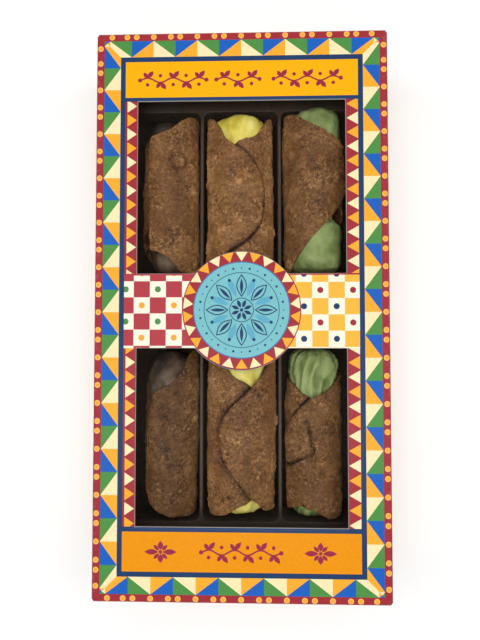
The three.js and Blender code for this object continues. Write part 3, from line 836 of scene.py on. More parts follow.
def printed_board():
    """Folding boxboard, offset printed and varnished. The varnish gives a soft gloss, the board
    under it a faint unevenness, and the folds rub pale where the print cracks."""
    material, tree, place = new_material("varnished_folding_boxboard")
    ink = add(tree, "ShaderNodeAttribute", attribute_name="ink")
    fold = add(tree, "ShaderNodeAttribute", attribute_name="fold").outputs["Fac"]
    grain = add(tree, "ShaderNodeTexNoise",
                {"Vector": place, "Scale": per(0.9), "Detail": 3.0}).outputs["Fac"]
    cloud = add(tree, "ShaderNodeTexNoise",
                {"Vector": place, "Scale": per(26), "Detail": 2.0}).outputs["Fac"]
    tone = add(tree, "ShaderNodeMapRange",
               {"Value": grain, "From Min": 0.3, "From Max": 0.7, "To Min": 0.955, "To Max": 1.045})
    toned = add(tree, "ShaderNodeVectorMath",
                {0: ink.outputs["Color"], 1: tone}, operation="MULTIPLY")
    scuff = add(tree, "ShaderNodeTexNoise",
                {"Vector": place, "Scale": per(2.2), "Detail": 5.0, "Roughness": 0.7})
    rubbed = add(tree, "ShaderNodeMapRange",
                 {"Value": scuff.outputs["Fac"], "From Min": 0.52, "From Max": 0.7,
                  "To Min": 0.0, "To Max": 0.3})
    wear = add(tree, "ShaderNodeMath", {0: rubbed, 1: fold}, operation="MULTIPLY")
    colour = add(tree, "ShaderNodeMix",
                 {0: wear, 6: toned, 7: srgb(INKS["board_edge"])},
                 data_type="RGBA")
    gloss = add(tree, "ShaderNodeMapRange",
                {"Value": cloud, "From Min": 0.3, "From Max": 0.7, "To Min": 0.26, "To Max": 0.34})
    rough = add(tree, "ShaderNodeMix",
                {0: ink.outputs["Alpha"], 2: 0.85, 3: gloss}, data_type="FLOAT")
    bump = add(tree, "ShaderNodeBump", {"Height": grain, "Strength": 0.25, "Distance": 0.02 * MM})
    shader = add(tree, "ShaderNodeBsdfPrincipled", {
        "Base Color": colour.outputs[2], "Roughness": rough, "IOR": 1.5,
        "Specular IOR Level": 0.12, "Normal": bump,
    })
    add(tree, "ShaderNodeOutputMaterial", {"Surface": shader})
    return material


# ---- film ------------------------------------------------------------------------------------


def film_piece(material):
    """The film behind the windows: a thin sheet that follows the front panel and waves a
    little between its glued edges."""
    columns = round((FILM_HIGH[0] - FILM_LOW[0]) / FILM_STEP)
    rows = round((FILM_HIGH[1] - FILM_LOW[1]) / FILM_STEP)
    points = []
    for z in (FILM_HIGH[2], FILM_LOW[2]):
        for row in range(rows + 1):
            for column in range(columns + 1):
                a, b = column / columns, row / rows
                x = FILM_LOW[0] + (FILM_HIGH[0] - FILM_LOW[0]) * a
                y = FILM_LOW[1] + (FILM_HIGH[1] - FILM_LOW[1]) * b
                free = math.sin(math.pi * a) * math.sin(math.pi * b)
                wave = math.sin(x / 15 + y / 37) + math.sin(y / 21 - x / 40) - 2
                points.append((x, y, z - bow(x, y) + FILM_WAVE * free * wave))
    layer = (columns + 1) * (rows + 1)
    faces, edge = [], []
    for row in range(rows):
        for column in range(columns):
            a = row * (columns + 1) + column
            quad = [a, a + 1, a + columns + 2, a + columns + 1]
            faces += [quad, [i + layer for i in reversed(quad)]]
    edge += range(columns)
    edge += [row * (columns + 1) + columns for row in range(rows)]
    edge += [rows * (columns + 1) + column for column in range(columns, 0, -1)]
    edge += [row * (columns + 1) for row in range(rows, 0, -1)]
    for a, b in zip(edge, edge[1:] + edge[:1]):
        faces.append([a, a + layer, b + layer, b])
    return make_piece("clear_window_film", points, faces, material)


def clear_film():
    """Oriented plastic film. It is clear, and only a thin gloss and a trace of haze show."""
    material, tree, place = new_material("clear_oriented_film")
    ripple = add(tree, "ShaderNodeTexNoise", {"Vector": place, "Scale": per(30), "Detail": 2.0})
    bump = add(tree, "ShaderNodeBump",
               {"Height": ripple.outputs["Fac"], "Strength": 0.3, "Distance": 0.6 * MM})
    edge_on = add(tree, "ShaderNodeFresnel", {"IOR": 1.3})
    seen = add(tree, "ShaderNodeMath", {0: edge_on, 1: 0.25}, operation="MULTIPLY")
    share = add(tree, "ShaderNodeMath", {0: seen, 1: -0.004}, operation="ADD")
    clear = add(tree, "ShaderNodeBsdfTransparent", {"Color": srgb("fbfbfb")})
    gloss = add(tree, "ShaderNodeBsdfPrincipled", {
        "Base Color": srgb("f4f6f8"), "Roughness": 0.12, "IOR": 1.5, "Metallic": 1.0,
        "Normal": bump,
    })
    mixed = add(tree, "ShaderNodeMixShader", {0: share, 1: clear, 2: gloss})
    add(tree, "ShaderNodeOutputMaterial", {"Surface": mixed})
    return material


# ---- tray ------------------------------------------------------------------------------------


def rounded_ring(half_x, half_y, corner, z, centre):
    """A rectangle with round corners, anticlockwise seen from above."""
    radius = min(corner, half_x * 0.95, half_y * 0.95)
    ring = []
    for quarter in range(4):
        sign_x = 1 if quarter in (0, 3) else -1
        sign_y = 1 if quarter < 2 else -1
        for step in range(CORNER_STEPS + 1):
            angle = (quarter + step / CORNER_STEPS) * math.pi / 2
            ring.append((
                centre[0] + sign_x * (half_x - radius) + radius * math.cos(angle),
                centre[1] + sign_y * (half_y - radius) + radius * math.sin(angle),
                z,
            ))
    return ring


def trough_rings(centre):
    """Rings of one trough from its flat floor up over the rounded edge to the rim."""
    middle_half = (TROUGH_END - TROUGH_INNER_END) / 2

    def half_length(z):
        under = min(max(TROUGH_FLOOR + FLOOR_ROUNDING - z, 0) / FLOOR_ROUNDING, 1)
        rounding = FLOOR_ROUNDING * (1 - math.sqrt(1 - under * under))
        return middle_half - (TRAY_TOP - z) * DRAFT - rounding

    rings = []
    for step in range(WALL_STEPS + 1):
        share = step / WALL_STEPS
        angle = TROUGH_FLOOR_ANGLE + (math.pi / 2 - TROUGH_FLOOR_ANGLE) * share
        z = TROUGH_AXIS_Z - TROUGH_RADIUS * math.cos(angle)
        rings.append(rounded_ring(
            TROUGH_RADIUS * math.sin(angle), half_length(z), TROUGH_CORNER, z, centre))
    wall_top = TRAY_TOP - TRAY_EDGE
    for step in range(EDGE_STEPS + 1):
        turn = step / EDGE_STEPS * math.pi / 2
        out = TRAY_EDGE * (1 - math.cos(turn))
        z = wall_top + TRAY_EDGE * math.sin(turn)
        half_x = TROUGH_RADIUS + (wall_top - TROUGH_AXIS_Z) * DRAFT + out
        rings.append(rounded_ring(
            half_x, half_length(wall_top) + out, TROUGH_CORNER + out, z, centre))
    return rings


def skirt_rings():
    """Rings of the rim from the flat of it over the edge and down the flared skirt."""
    centre = (TRAY_SHIFT, 0)
    rings = []
    for step in range(EDGE_STEPS + 1):
        turn = step / EDGE_STEPS * math.pi / 2
        out = RIM_EDGE * (math.sin(turn) - 1)
        z = TRAY_TOP - RIM_EDGE * (1 - math.cos(turn))
        rings.append(rounded_ring(
            RIM_HALF_WIDTH + out, RIM_HALF_LENGTH + out, RIM_CORNER, z, centre))
    rings.append(rounded_ring(
        RIM_HALF_WIDTH + SKIRT_FLARE, RIM_HALF_LENGTH + SKIRT_FLARE, RIM_CORNER, TRAY_FOOT, centre))
    return rings


def tray_piece(material):
    points, faces = [], []

    def skin(rings):
        start, count = len(points), len(rings[0])
        for ring in rings:
            points.extend(ring)
        for i in range(len(rings) - 1):
            for j in range(count):
                a, b = start + i * count + j, start + i * count + (j + 1) % count
                faces.append([a + count, b + count, b, a])
        return start, count

    outlines = []
    for row in (1, -1):
        for column in (-1, 0, 1):
            centre = (
                TRAY_SHIFT + column * TROUGH_PITCH,
                row * (TROUGH_END + TROUGH_INNER_END) / 2,
            )
            rings = trough_rings(centre)
            start, count = skin(rings)
            faces.append(list(range(start, start + count)))
            outlines.append(rings[-1])
    rings = skirt_rings()
    skin(rings)

    flat_points, loops = [], []
    for outline in [rings[0], *outlines]:
        loops.append(list(range(len(flat_points), len(flat_points) + len(outline))))
        flat_points += [Vector(p[:2]) for p in outline]
    plate, _, triangles, _, _, owners = delaunay_2d_cdt(flat_points, [], loops, 1, 1e-4)
    start = len(points)
    points += [(p.x, p.y, TRAY_TOP) for p in plate]
    faces += [[i + start for i in t] for t, owner in zip(triangles, owners) if owner == [0]]

    piece = make_piece("moulded_tray", points, faces, material)
    shape = bmesh.new()
    shape.from_mesh(piece.data)
    bmesh.ops.remove_doubles(shape, verts=shape.verts, dist=0.005 * MM)
    bmesh.ops.recalc_face_normals(shape, faces=shape.faces)
    if sum(face.normal.z * face.calc_area() for face in shape.faces) < 0:
        bmesh.ops.reverse_faces(shape, faces=shape.faces)
    shape.to_mesh(piece.data)
    shape.free()
    wall = piece.modifiers.new("wall", "SOLIDIFY")
    wall.thickness = SHEET * MM
    wall.offset = -1
    return settle(piece)


def tray_plastic():
    """Dark brown thermoformed polyester sheet: glossy, a little wavy from forming."""
    material, tree, place = new_material("thermoformed_brown_sheet")
    wave = add(tree, "ShaderNodeTexNoise", {"Vector": place, "Scale": per(14), "Detail": 2.0})
    smear = add(tree, "ShaderNodeTexNoise",
                {"Vector": place, "Scale": per(7), "Detail": 5.0, "Roughness": 0.65})
    rough = add(tree, "ShaderNodeMapRange",
                {"Value": smear.outputs["Fac"], "From Min": 0.35, "From Max": 0.7,
                 "To Min": 0.22, "To Max": 0.4})
    bump = add(tree, "ShaderNodeBump",
               {"Height": wave.outputs["Fac"], "Strength": 0.4, "Distance": 0.5 * MM})
    shader = add(tree, "ShaderNodeBsdfPrincipled", {
        "Base Color": srgb("4e4238"), "Roughness": rough, "IOR": 1.5,
        "Specular IOR Level": 0.12,
        "Normal": bump,
    })
    add(tree, "ShaderNodeOutputMaterial", {"Surface": shader})
    return material


# ---- cannoli ---------------------------------------------------------------------------------


def smooth_step(value, low, high):
    share = np.clip((value - low) / (high - low), 0, 1)
    return share * share * (3 - 2 * share)


def bell(value, width):
    return np.exp(-((value / width) ** 2))


def whole_turn(cannolo):
    """The turn from the side opposite the seam to where the outer edge reaches farthest."""
    return math.pi + math.radians(cannolo["lap"])


def angle_at(cannolo, turn):
    return math.radians(cannolo["seam"]) + cannolo["hand"] * (turn - math.pi)


def turn_at(cannolo, angle):
    return math.pi + cannolo["hand"] * (angle - math.radians(cannolo["seam"]))


def tube_radius(cannolo, angle, along):
    """The middle of the pastry's thickness, before the spiral of its lap."""
    share = np.minimum(np.abs(along) / (cannolo["length"] / 2), 1)
    slow = np.sin(2 * angle + cannolo["phase"] + along / SLOW_WAVE)
    quick = np.sin(3 * angle - 2 * cannolo["phase"] - along / QUICK_WAVE)
    straight = cannolo["half_width"] - PASTRY / 2
    return straight * (1 - BULGE * share * share) + WOBBLE * (slow + 0.6 * quick)


def spiral(turn):
    """How much further out the pastry lies after a turn from the side opposite its seam."""
    return (PASTRY + LAP_GAP) * turn / (2 * math.pi)


def cut_outline(cannolo):
    """How far the cut piece's outline reaches in each direction from its middle: a smooth closed
    curve through its points, in shares of the whole turn and of half its length."""
    here = np.array(cannolo["outline"]) / (180 + cannolo["lap"], cannolo["length"] / 2)
    before, after, beyond = (np.roll(here, shift, axis=0) for shift in (1, -1, -2))
    t = (np.arange(OUTLINE_STEPS) / OUTLINE_STEPS)[:, None, None]
    slope = after - before
    bend = 2 * before - 5 * here + 4 * after - beyond
    twist = 3 * here - before - 3 * after + beyond
    curve = (here + (slope * t + bend * t**2 + twist * t**3) / 2).reshape(-1, 2)
    return np.arctan2(curve[:, 1], curve[:, 0]), np.hypot(curve[:, 0], curve[:, 1])


def outline_reach(cannolo, across, along):
    return np.interp(np.arctan2(along, across), *cut_outline(cannolo), period=2 * math.pi)


def stepped(cannolo, turn, along):
    """Where the outer edge steps back, the part of it past the seam is drawn in to a share of
    itself, and the edge of the step slants. Gives the turn and the place along the tube."""
    if "edge_step" not in cannolo:
        return turn, along
    held = math.pi - STEP_START
    past = along - cannolo["edge_step"]
    share = smooth_step(past, -STEP_BLEND, STEP_BLEND)
    drawn = held + (turn - held) * (STEP_SHARE + (1 - STEP_SHARE) * share)
    near = bell(past, STEP_SLANT_REACH)
    middle = held + math.radians(cannolo["lap"]) / 2
    shift = -STEP_SLANT * near * np.degrees(drawn - middle)
    return np.where(turn < held, turn, drawn), along + np.where(turn < held, 0, shift)


def inside_edge(cannolo, turn, along):
    """About how far a place on the unrolled pastry lies inside its cut edge."""
    a = turn / whole_turn(cannolo)
    b = along / (cannolo["length"] / 2)
    out = np.hypot(turn * cannolo["half_width"], along)
    return out * (outline_reach(cannolo, a, b) / np.maximum(np.hypot(a, b), 1e-6) - 1)


def creases(cannolo, turn, along):
    """How deep the creases press into the pastry, and how much painted shade darkens them."""
    depth, shade = 0 * turn, 0 * turn
    before, past = CREASE_END_FADE
    for place, slant, low, high, half_width, deepest in cannolo.get("creases", ()):
        line = np.radians(place + slant * (along - (low + high) / 2))
        run = smooth_step(along, low - CREASE_START_FADE, low + CREASE_START_FADE)
        run *= 1 - smooth_step(along, high - before, high + past)
        run *= bell((turn - line) * cannolo["half_width"], half_width)
        depth += deepest * run
        shade += CREASE_SHADE * run * deepest / half_width
    return depth, shade


def blisters(cannolo, turn, along):
    """How far single blisters stand out, each a ring round a fallen-in middle, and how much
    painted shade darkens them round their foot, or over the whole of a pit."""
    height, shade = 0 * turn, 0 * turn
    for place, middle, radius, highest in cannolo.get("blisters", ()):
        across = (turn - math.radians(place)) * cannolo["half_width"]
        out = np.hypot(across, along - middle) / radius
        if highest > 0:
            height += highest * bell(out - BLISTER_RING[0], BLISTER_RING[1])
            shade += BLISTER_SHADE * bell(out - BLISTER_FOOT[0], BLISTER_FOOT[1])
        else:
            height += highest * bell(out, PIT_WIDTH)
            shade += PIT_SHADE * bell(out, PIT_WIDTH)
    return height, shade


def unrolled(cannolo, s, w):
    """The turn and the place along the tube for arrays of s and w, which run from -1 to 1
    across and along the cut piece."""
    across = s * np.sqrt(1 - w * w / 2)
    along = w * np.sqrt(1 - s * s / 2)
    reach = outline_reach(cannolo, across, along)
    turn = across * reach * whole_turn(cannolo)
    return stepped(cannolo, turn, along * reach * cannolo["length"] / 2)


def stuck(cannolo, along):
    """1 past the step, where the outer edge has sunk into the pastry under it."""
    if "edge_step" not in cannolo:
        return 0 * along
    full, start = SUNK_RUN
    return 1 - smooth_step(along, cannolo["edge_step"] - full, cannolo["edge_step"] - start)


def from_middle(s, w):
    """0 in the middle of the cut piece and 1 all round its edge."""
    return np.maximum(np.abs(s), np.abs(w))


def pastry_layer(cannolo, s, w, layer):
    """Points of the wrapped pastry. layer is -0.5 on its inner face and 0.5 on its outer one."""
    turn, y = unrolled(cannolo, s, w)
    angle = angle_at(cannolo, turn)
    radius = tube_radius(cannolo, angle, y) + spiral(turn)
    radius = radius - creases(cannolo, turn, y)[0] + blisters(cannolo, turn, y)[0]

    inside = (1 - from_middle(s, w)) * cannolo["length"] / 2
    zone, left = (RIM_ROUNDING, RIM_TOP) if layer > 0 else (UNDERCUT, RIM_UNDER)
    rim = np.clip(inside / zone, 0, 1)
    thickness = left + (1 - left) * np.sqrt(1 - (1 - rim) ** 2)
    curl = np.sin(CURL_COUNT * angle + y / CURL_LENGTH + cannolo["phase"])
    lift = cannolo.get("edge_lift", EDGE_LIFT) * (1 + curl) / 2 - EDGE_PRESS
    outer_edge = smooth_step(turn, EDGE_START, math.pi)
    outer_edge = outer_edge * (1 - smooth_step(inside, 0, EDGE_LIFT_ZONE))
    sunk = stuck(cannolo, y)
    radius = radius - SUNK_EDGE * sunk * smooth_step(turn, SUNK_START, SUNK_FULL)
    lift = lift * (1 - sunk)
    radius = radius + layer * PASTRY * thickness + lift * outer_edge
    return np.stack([radius * np.sin(angle), y, radius * np.cos(angle)], axis=-1)


def spread(steps):
    """Values from -1 to 1 that crowd a little towards the ends."""
    even = np.linspace(-1, 1, steps + 1)
    return (1 - CROWDING) * even + CROWDING * np.sin(even * math.pi / 2)


def painted_seam_shade(cannolo, turn, along):
    """Painted shade: 1 in the crack along the outer edge, and less on the rim over it, on a crease,
    round a blister and in a painted shadow beside the crack."""
    side = np.linspace(-1, 1, EDGE_SAMPLES)
    ends = np.linspace(0, 1, END_SAMPLES)
    s = np.concatenate([np.ones(EDGE_SAMPLES), ends, ends])
    w = np.concatenate([side, np.ones(END_SAMPLES), -np.ones(END_SAMPLES)])
    edge_turn, edge_along = unrolled(cannolo, s, w)
    edge = KDTree(len(s))
    for i, (a, b) in enumerate(zip(edge_turn * cannolo["half_width"], edge_along)):
        edge.insert((a, b, 0), i)
    edge.balance()
    under = turn < 0
    place = np.where(under, turn + 2 * math.pi, turn)
    off = np.full(len(turn), np.inf)
    for i in np.flatnonzero(np.abs(turn) > SEAM_START):
        off[i] = edge.find((place[i] * cannolo["half_width"], along[i], 0))[2]
    lean = np.clip(cannolo["hand"] * np.tan(angle_at(cannolo, place)), 0, 1)
    beside = np.maximum(off - SEAM_CORE - SEAM_OVERHANG * lean, 0)
    overlapped = smooth_step(inside_edge(cannolo, turn - 2 * math.pi, along), 0, OVERLAP_FADE)
    half = cannolo["length"] / 2
    crack = np.interp(along, (-half, half), cannolo.get("crack", (0.9, 0.9)))
    # painted shade in the crack beside the outer edge, and a broad painted shadow beside it
    dark = crack * bell(beside, SEAM_WIDTH)
    dark += cannolo.get("shadow", 0) * (1 - dark) * bell(beside, SHADOW_WIDTH)
    # painted shade on the rim of the outer edge where it lies over pastry
    rim = crack * overlapped * RIM_SHADE * bell(off, RIM_SHADE_WIDTH)
    shade = np.where(under, dark, rim)
    if "edge_step" in cannolo:
        middle = 180 - math.degrees(STEP_START) + cannolo["lap"] / 2
        low_edge = cannolo["edge_step"] - STEP_SLANT * (np.degrees(place) - middle)
        none, full = STEP_SHADE_FADE
        shade *= smooth_step(along, low_edge - none, low_edge - full)
    return shade + creases(cannolo, turn, along)[1] + blisters(cannolo, turn, along)[1]


def pastry_piece(cannolo, material, relief):
    columns, rows = PASTRY_STEPS_ROUND, PASTRY_STEPS_ALONG
    s, w = np.meshgrid(spread(columns), spread(rows))
    points = np.concatenate(
        [pastry_layer(cannolo, s, w, layer).reshape(-1, 3) for layer in (0.5, -0.5)]
    )
    layer_size = (columns + 1) * (rows + 1)
    grid = np.arange(layer_size).reshape(rows + 1, columns + 1)
    quads = np.stack([grid[:-1, :-1], grid[:-1, 1:], grid[1:, 1:], grid[1:, :-1]], -1)
    quads = quads.reshape(-1, 4)
    edge = np.concatenate([grid[0, :-1], grid[:-1, -1], grid[-1, :0:-1], grid[:0:-1, 0]])
    ahead = np.roll(edge, -1)
    rim = np.stack([edge, edge + layer_size, ahead + layer_size, ahead], -1)
    faces = np.concatenate([quads, quads[:, ::-1] + layer_size, rim])
    if cannolo["hand"] < 0:
        faces = faces[:, ::-1]

    low, _ = box_mm("shell_" + cannolo["name"])
    height = low[2] - points[:, 2].min()
    points += (cannolo["x"], cannolo["y"], height)
    piece = make_piece("fried_shell_" + cannolo["name"], points, faces.tolist(), material)
    outer = np.zeros(2 * layer_size)
    near_edge = np.clip(from_middle(s, w).reshape(-1) - FACE_END, 0, 1)
    outer[:layer_size] = 1 - near_edge * FACE_FADE
    store(piece, "outer", outer)
    # how much the whole shell is darkened: partly its frying, partly painted shade
    store(piece, "browning", np.full(2 * layer_size, cannolo["browning"]))
    shade = painted_seam_shade(cannolo, *(place.reshape(-1) for place in unrolled(cannolo, s, w)))
    # painted shade: the crack, its shadow and rim, creases and blisters, and half shade over the
    # whole inner face of the tube
    store(piece, "seam", np.concatenate([shade, np.full(layer_size, INNER_SHADE)]))
    grow(piece, relief, **{"Seed": cannolo["phase"] * PASTRY_SEED, "Material": material})
    return piece, height


def inner_radius(cannolo, angle, along):
    """The innermost face of the pastry at an angle, as if its lap ran the whole length."""
    lowest = -whole_turn(cannolo)
    wrapped = lowest + np.mod(turn_at(cannolo, angle) - lowest, 2 * math.pi)
    step_up = smooth_step(wrapped - lowest, 0, 0.5)
    join = spiral(2 * math.pi) * (1 - step_up)
    return tube_radius(cannolo, angle, along) + spiral(wrapped) + join - PASTRY / 2


def filling_piece(cannolo, height, material, relief):
    """A rope of cream that fills the tube, with rounded ends."""
    low, high = cannolo["ends"]
    middle, half = (low + high) / 2, (high - low) / 2
    share = np.sin(np.linspace(-math.pi / 2, math.pi / 2, FILLING_STEPS_ALONG + 1))[1:-1]
    angle = np.arange(FILLING_STEPS_ROUND) * 2 * math.pi / FILLING_STEPS_ROUND
    share, angle = np.meshgrid(share, angle, indexing="ij")
    lean = cannolo.get("overhang", 0) * smooth_step(share, OVERHANG_START, 1) * np.cos(angle)
    along = middle + half * share + lean
    dome = (1 - np.abs(share) ** cannolo.get("bluntness", BLUNTNESS)) ** 0.5
    turn = np.mod(turn_at(cannolo, angle) + math.pi, 2 * math.pi) - math.pi
    covered = np.max([inside_edge(cannolo, turn + way * 2 * math.pi, along)
                      for way in (-1, 0, 1)], axis=0)
    swell = FILLING_SWELL * smooth_step(-covered, *SWELL_RUN)
    radius = inner_radius(cannolo, angle, along) + FILLING_INTO_PASTRY + swell
    for side, start, end, depth in cannolo.get("hollows", ()):
        facing = np.clip(np.cos(angle - math.radians(side)), 0, 1)
        reach = smooth_step(along, start - HOLLOW_START_FADE, start + HOLLOW_START_FADE)
        reach = reach - smooth_step(along, end - HOLLOW_END_FADE, end + HOLLOW_END_FADE)
        radius = radius - depth * facing * reach
    if "lobes" in cannolo:
        wander = 0.8 * np.sin(along / 4 + 2 * angle) + 0.6 * np.sin(5 * angle - along / 3)
        wave = np.cos(cannolo["lobes"] * angle - along / RIDGE_SLANT + wander)
        uneven = 0.65 + 0.35 * np.sin(3 * angle + along / 4 + np.sin(7 * angle))
        groove = (0.5 + 0.5 * wave) ** 0.8 * uneven
        torn = np.sin(2.3 * along + 5 * np.sin(3 * angle))
        torn = torn * np.sin(19 * angle + 4 * np.sin(along / 3))
        radius = radius - RIDGE * groove + TORN * torn
    else:
        groove = 0 * angle
    radius = radius * dome
    ring_points = np.stack([radius * np.sin(angle), along, radius * np.cos(angle)], -1)
    points = np.concatenate([ring_points.reshape(-1, 3), [(0, low, 0), (0, high, 0)]])
    rows, columns = angle.shape
    grid = np.arange(rows * columns).reshape(rows, columns)
    ahead = np.roll(grid, -1, axis=1)
    quads = np.stack([grid[:-1], ahead[:-1], ahead[1:], grid[1:]], -1).reshape(-1, 4)
    first, last = rows * columns, rows * columns + 1
    faces = quads.tolist()
    faces += [[first, int(b), int(a)] for a, b in zip(grid[0], ahead[0])]
    faces += [[last, int(a), int(b)] for a, b in zip(grid[-1], ahead[-1])]
    points += (cannolo["x"], cannolo["y"], height)
    piece = make_piece("cream_" + cannolo["name"], points, faces, material)
    # painted light and shade: the cream is lighter or darker at steps along it, and darker in the
    # grooves between piped ridges
    tones = cannolo.get("tones", (0, 0))
    tone = np.interp(points[:, 1] - cannolo["y"], np.linspace(low, high, len(tones)), tones)
    tone[:-2] -= GROOVE_SHADE * groove.reshape(-1)
    store(piece, "tone", tone)
    return grow(piece, relief, **{"Seed": cannolo["phase"] * CREAM_SEED, "Material": material})


def relief_tree(name, sizes, build):
    """A Geometry Nodes tree that moves a surface along its normals by a height that build()
    makes from the place and a seed, and keeps that height for the material to read."""
    tree = bpy.data.node_groups.new(name, "GeometryNodeTree")
    tree.interface.new_socket("Geometry", in_out="INPUT", socket_type="NodeSocketGeometry")
    for label, value in {**sizes, "Seed": 0.0}.items():
        socket = tree.interface.new_socket(label, in_out="INPUT", socket_type="NodeSocketFloat")
        socket.default_value = value
    tree.interface.new_socket("Material", in_out="INPUT", socket_type="NodeSocketMaterial")
    tree.interface.new_socket("Geometry", in_out="OUTPUT", socket_type="NodeSocketGeometry")
    given = add(tree, "NodeGroupInput").outputs
    place = add(tree, "GeometryNodeInputPosition")
    height = build(tree, given, place)
    outer = add(tree, "GeometryNodeInputNamedAttribute", {"Name": "outer"}, data_type="FLOAT")
    shown = add(tree, "GeometryNodeSwitch",
                {"Switch": outer.outputs["Exists"], "False": 1.0, "True": outer},
                input_type="FLOAT")
    lift = add(tree, "ShaderNodeMath", {0: height, 1: shown}, operation="MULTIPLY")
    normal = add(tree, "GeometryNodeInputNormal")
    offset = add(tree, "ShaderNodeVectorMath", {0: normal, "Scale": lift}, operation="SCALE")
    kept = add(tree, "GeometryNodeStoreNamedAttribute",
               {"Geometry": given["Geometry"], "Name": "relief",
                "Value": add(tree, "ShaderNodeMath", {0: height, 1: TO_MM},
                             operation="MULTIPLY")},
               data_type="FLOAT", domain="POINT")
    moved = add(tree, "GeometryNodeSetPosition", {"Geometry": kept, "Offset": offset})
    real = add(tree, "GeometryNodeRealizeInstances", {"Geometry": moved})
    covered = add(tree, "GeometryNodeSetMaterial",
                  {"Geometry": real, "Material": given["Material"]})
    add(tree, "NodeGroupOutput", {"Geometry": covered})
    return tree


def noise_height(tree, given, vector, label, detail, distortion=0.0):
    """Noise of the size and height that the tree is given under a label, centred on zero."""
    scale = add(tree, "ShaderNodeMath", {0: 1.0, 1: given[label + " Size"]}, operation="DIVIDE")
    noise = add(tree, "ShaderNodeTexNoise",
                {"Vector": vector, "W": given["Seed"], "Scale": scale,
                 "Detail": detail, "Distortion": distortion}, noise_dimensions="4D")
    centred = add(tree, "ShaderNodeMath", {0: noise.outputs["Fac"], 1: 0.5}, operation="SUBTRACT")
    return add(tree, "ShaderNodeMath", {0: centred, 1: given[label + " Height"]},
               operation="MULTIPLY")


def bubble_height(tree, given, place, label, rarity, reach, sunken=0.0):
    """Domes in a share of the cells of a cell pattern. A rarity of 1 leaves none, and sunken is
    the share of its height that the middle of a dome has lost."""
    scale = add(tree, "ShaderNodeMath", {0: 1.0, 1: given[label + " Size"]}, operation="DIVIDE")
    cell = add(tree, "ShaderNodeTexVoronoi",
               {"Vector": place, "W": given["Seed"], "Scale": scale},
               voronoi_dimensions="4D")
    across = add(tree, "ShaderNodeMapRange",
                 {"Value": cell.outputs["Distance"], "From Min": reach, "From Max": reach * 0.45,
                  "To Min": 0.0, "To Max": 1.0}, interpolation_type="SMOOTHSTEP")
    hollow = add(tree, "ShaderNodeMapRange",
                 {"Value": cell.outputs["Distance"], "From Min": reach * 0.6, "From Max": 0.1,
                  "To Min": 1.0, "To Max": 1.0 - sunken}, interpolation_type="SMOOTHSTEP")
    chance = add(tree, "ShaderNodeSeparateXYZ", {"Vector": cell.outputs["Color"]})
    picked = add(tree, "ShaderNodeMapRange",
                 {"Value": chance, "From Min": rarity, "From Max": 1.0,
                  "To Min": 0.0, "To Max": 1.0})
    profile = add(tree, "ShaderNodeMath", {0: across, 1: hollow}, operation="MULTIPLY")
    dome = add(tree, "ShaderNodeMath", {0: profile, 1: picked}, operation="MULTIPLY")
    return add(tree, "ShaderNodeMath", {0: dome, 1: given[label + " Height"]},
               operation="MULTIPLY")


def skin_height(tree, given, place, label):
    """A skin of small blisters that meet in narrow creases, in patches."""
    bend = add(tree, "ShaderNodeTexNoise", {"Vector": place, "Scale": per(5), "Detail": 2.0})
    shift = add(tree, "ShaderNodeVectorMath",
                {0: bend.outputs["Color"], "Scale": 3.5 * MM}, operation="SCALE")
    bent = add(tree, "ShaderNodeVectorMath", {0: place, 1: shift}, operation="ADD")
    scale = add(tree, "ShaderNodeMath", {0: 1.0, 1: given[label + " Size"]}, operation="DIVIDE")
    cell = add(tree, "ShaderNodeTexVoronoi",
               {"Vector": bent, "W": given["Seed"], "Scale": scale},
               voronoi_dimensions="4D", feature="DISTANCE_TO_EDGE")
    crease = add(tree, "ShaderNodeMapRange",
                 {"Value": cell.outputs["Distance"], "From Min": 0.0, "From Max": 0.22,
                  "To Min": -1.0, "To Max": 0.0}, interpolation_type="SMOOTHSTEP")
    area = add(tree, "ShaderNodeTexNoise",
               {"Vector": place, "W": given["Seed"], "Scale": per(13), "Detail": 1.0},
               noise_dimensions="4D")
    shown = add(tree, "ShaderNodeMapRange",
                {"Value": area.outputs["Fac"], "From Min": 0.42, "From Max": 0.6,
                 "To Min": 0.15, "To Max": 1.0})
    patchy = add(tree, "ShaderNodeMath", {0: crease, 1: shown}, operation="MULTIPLY")
    return add(tree, "ShaderNodeMath", {0: patchy, 1: given[label + " Height"]},
               operation="MULTIPLY")


def summed(tree, heights):
    total = heights[0]
    for height in heights[1:]:
        total = add(tree, "ShaderNodeMath", {0: total, 1: height}, operation="ADD")
    return total


def fried_height(tree, given, place):
    """Blisters, some of them fallen in, over bubbles, pits, pimples and fine wrinkles."""
    return summed(tree, [
        noise_height(tree, given, place, "Dent", 1.0),
        bubble_height(tree, given, place, "Blister", 0.6, 0.46, 0.7),
        bubble_height(tree, given, place, "Bubble", 0.35, 0.5, 0.2),
        bubble_height(tree, given, place, "Pit", 0.45, 0.42),
        skin_height(tree, given, place, "Skin"),
        noise_height(tree, given, place, "Pimple", 3.0, 0.6),
        noise_height(tree, given, place, "Wrinkle", 3.0, 0.8),
    ])


def cream_height(tree, given, place):
    """Soft lumps, and finer drag marks that run along the tube."""
    drawn = add(tree, "ShaderNodeVectorMath", {0: place, 1: (1.0, 0.35, 1.0)},
                operation="MULTIPLY")
    return summed(tree, [
        noise_height(tree, given, place, "Lump", 2.5),
        noise_height(tree, given, drawn, "Drag", 2.5),
    ])


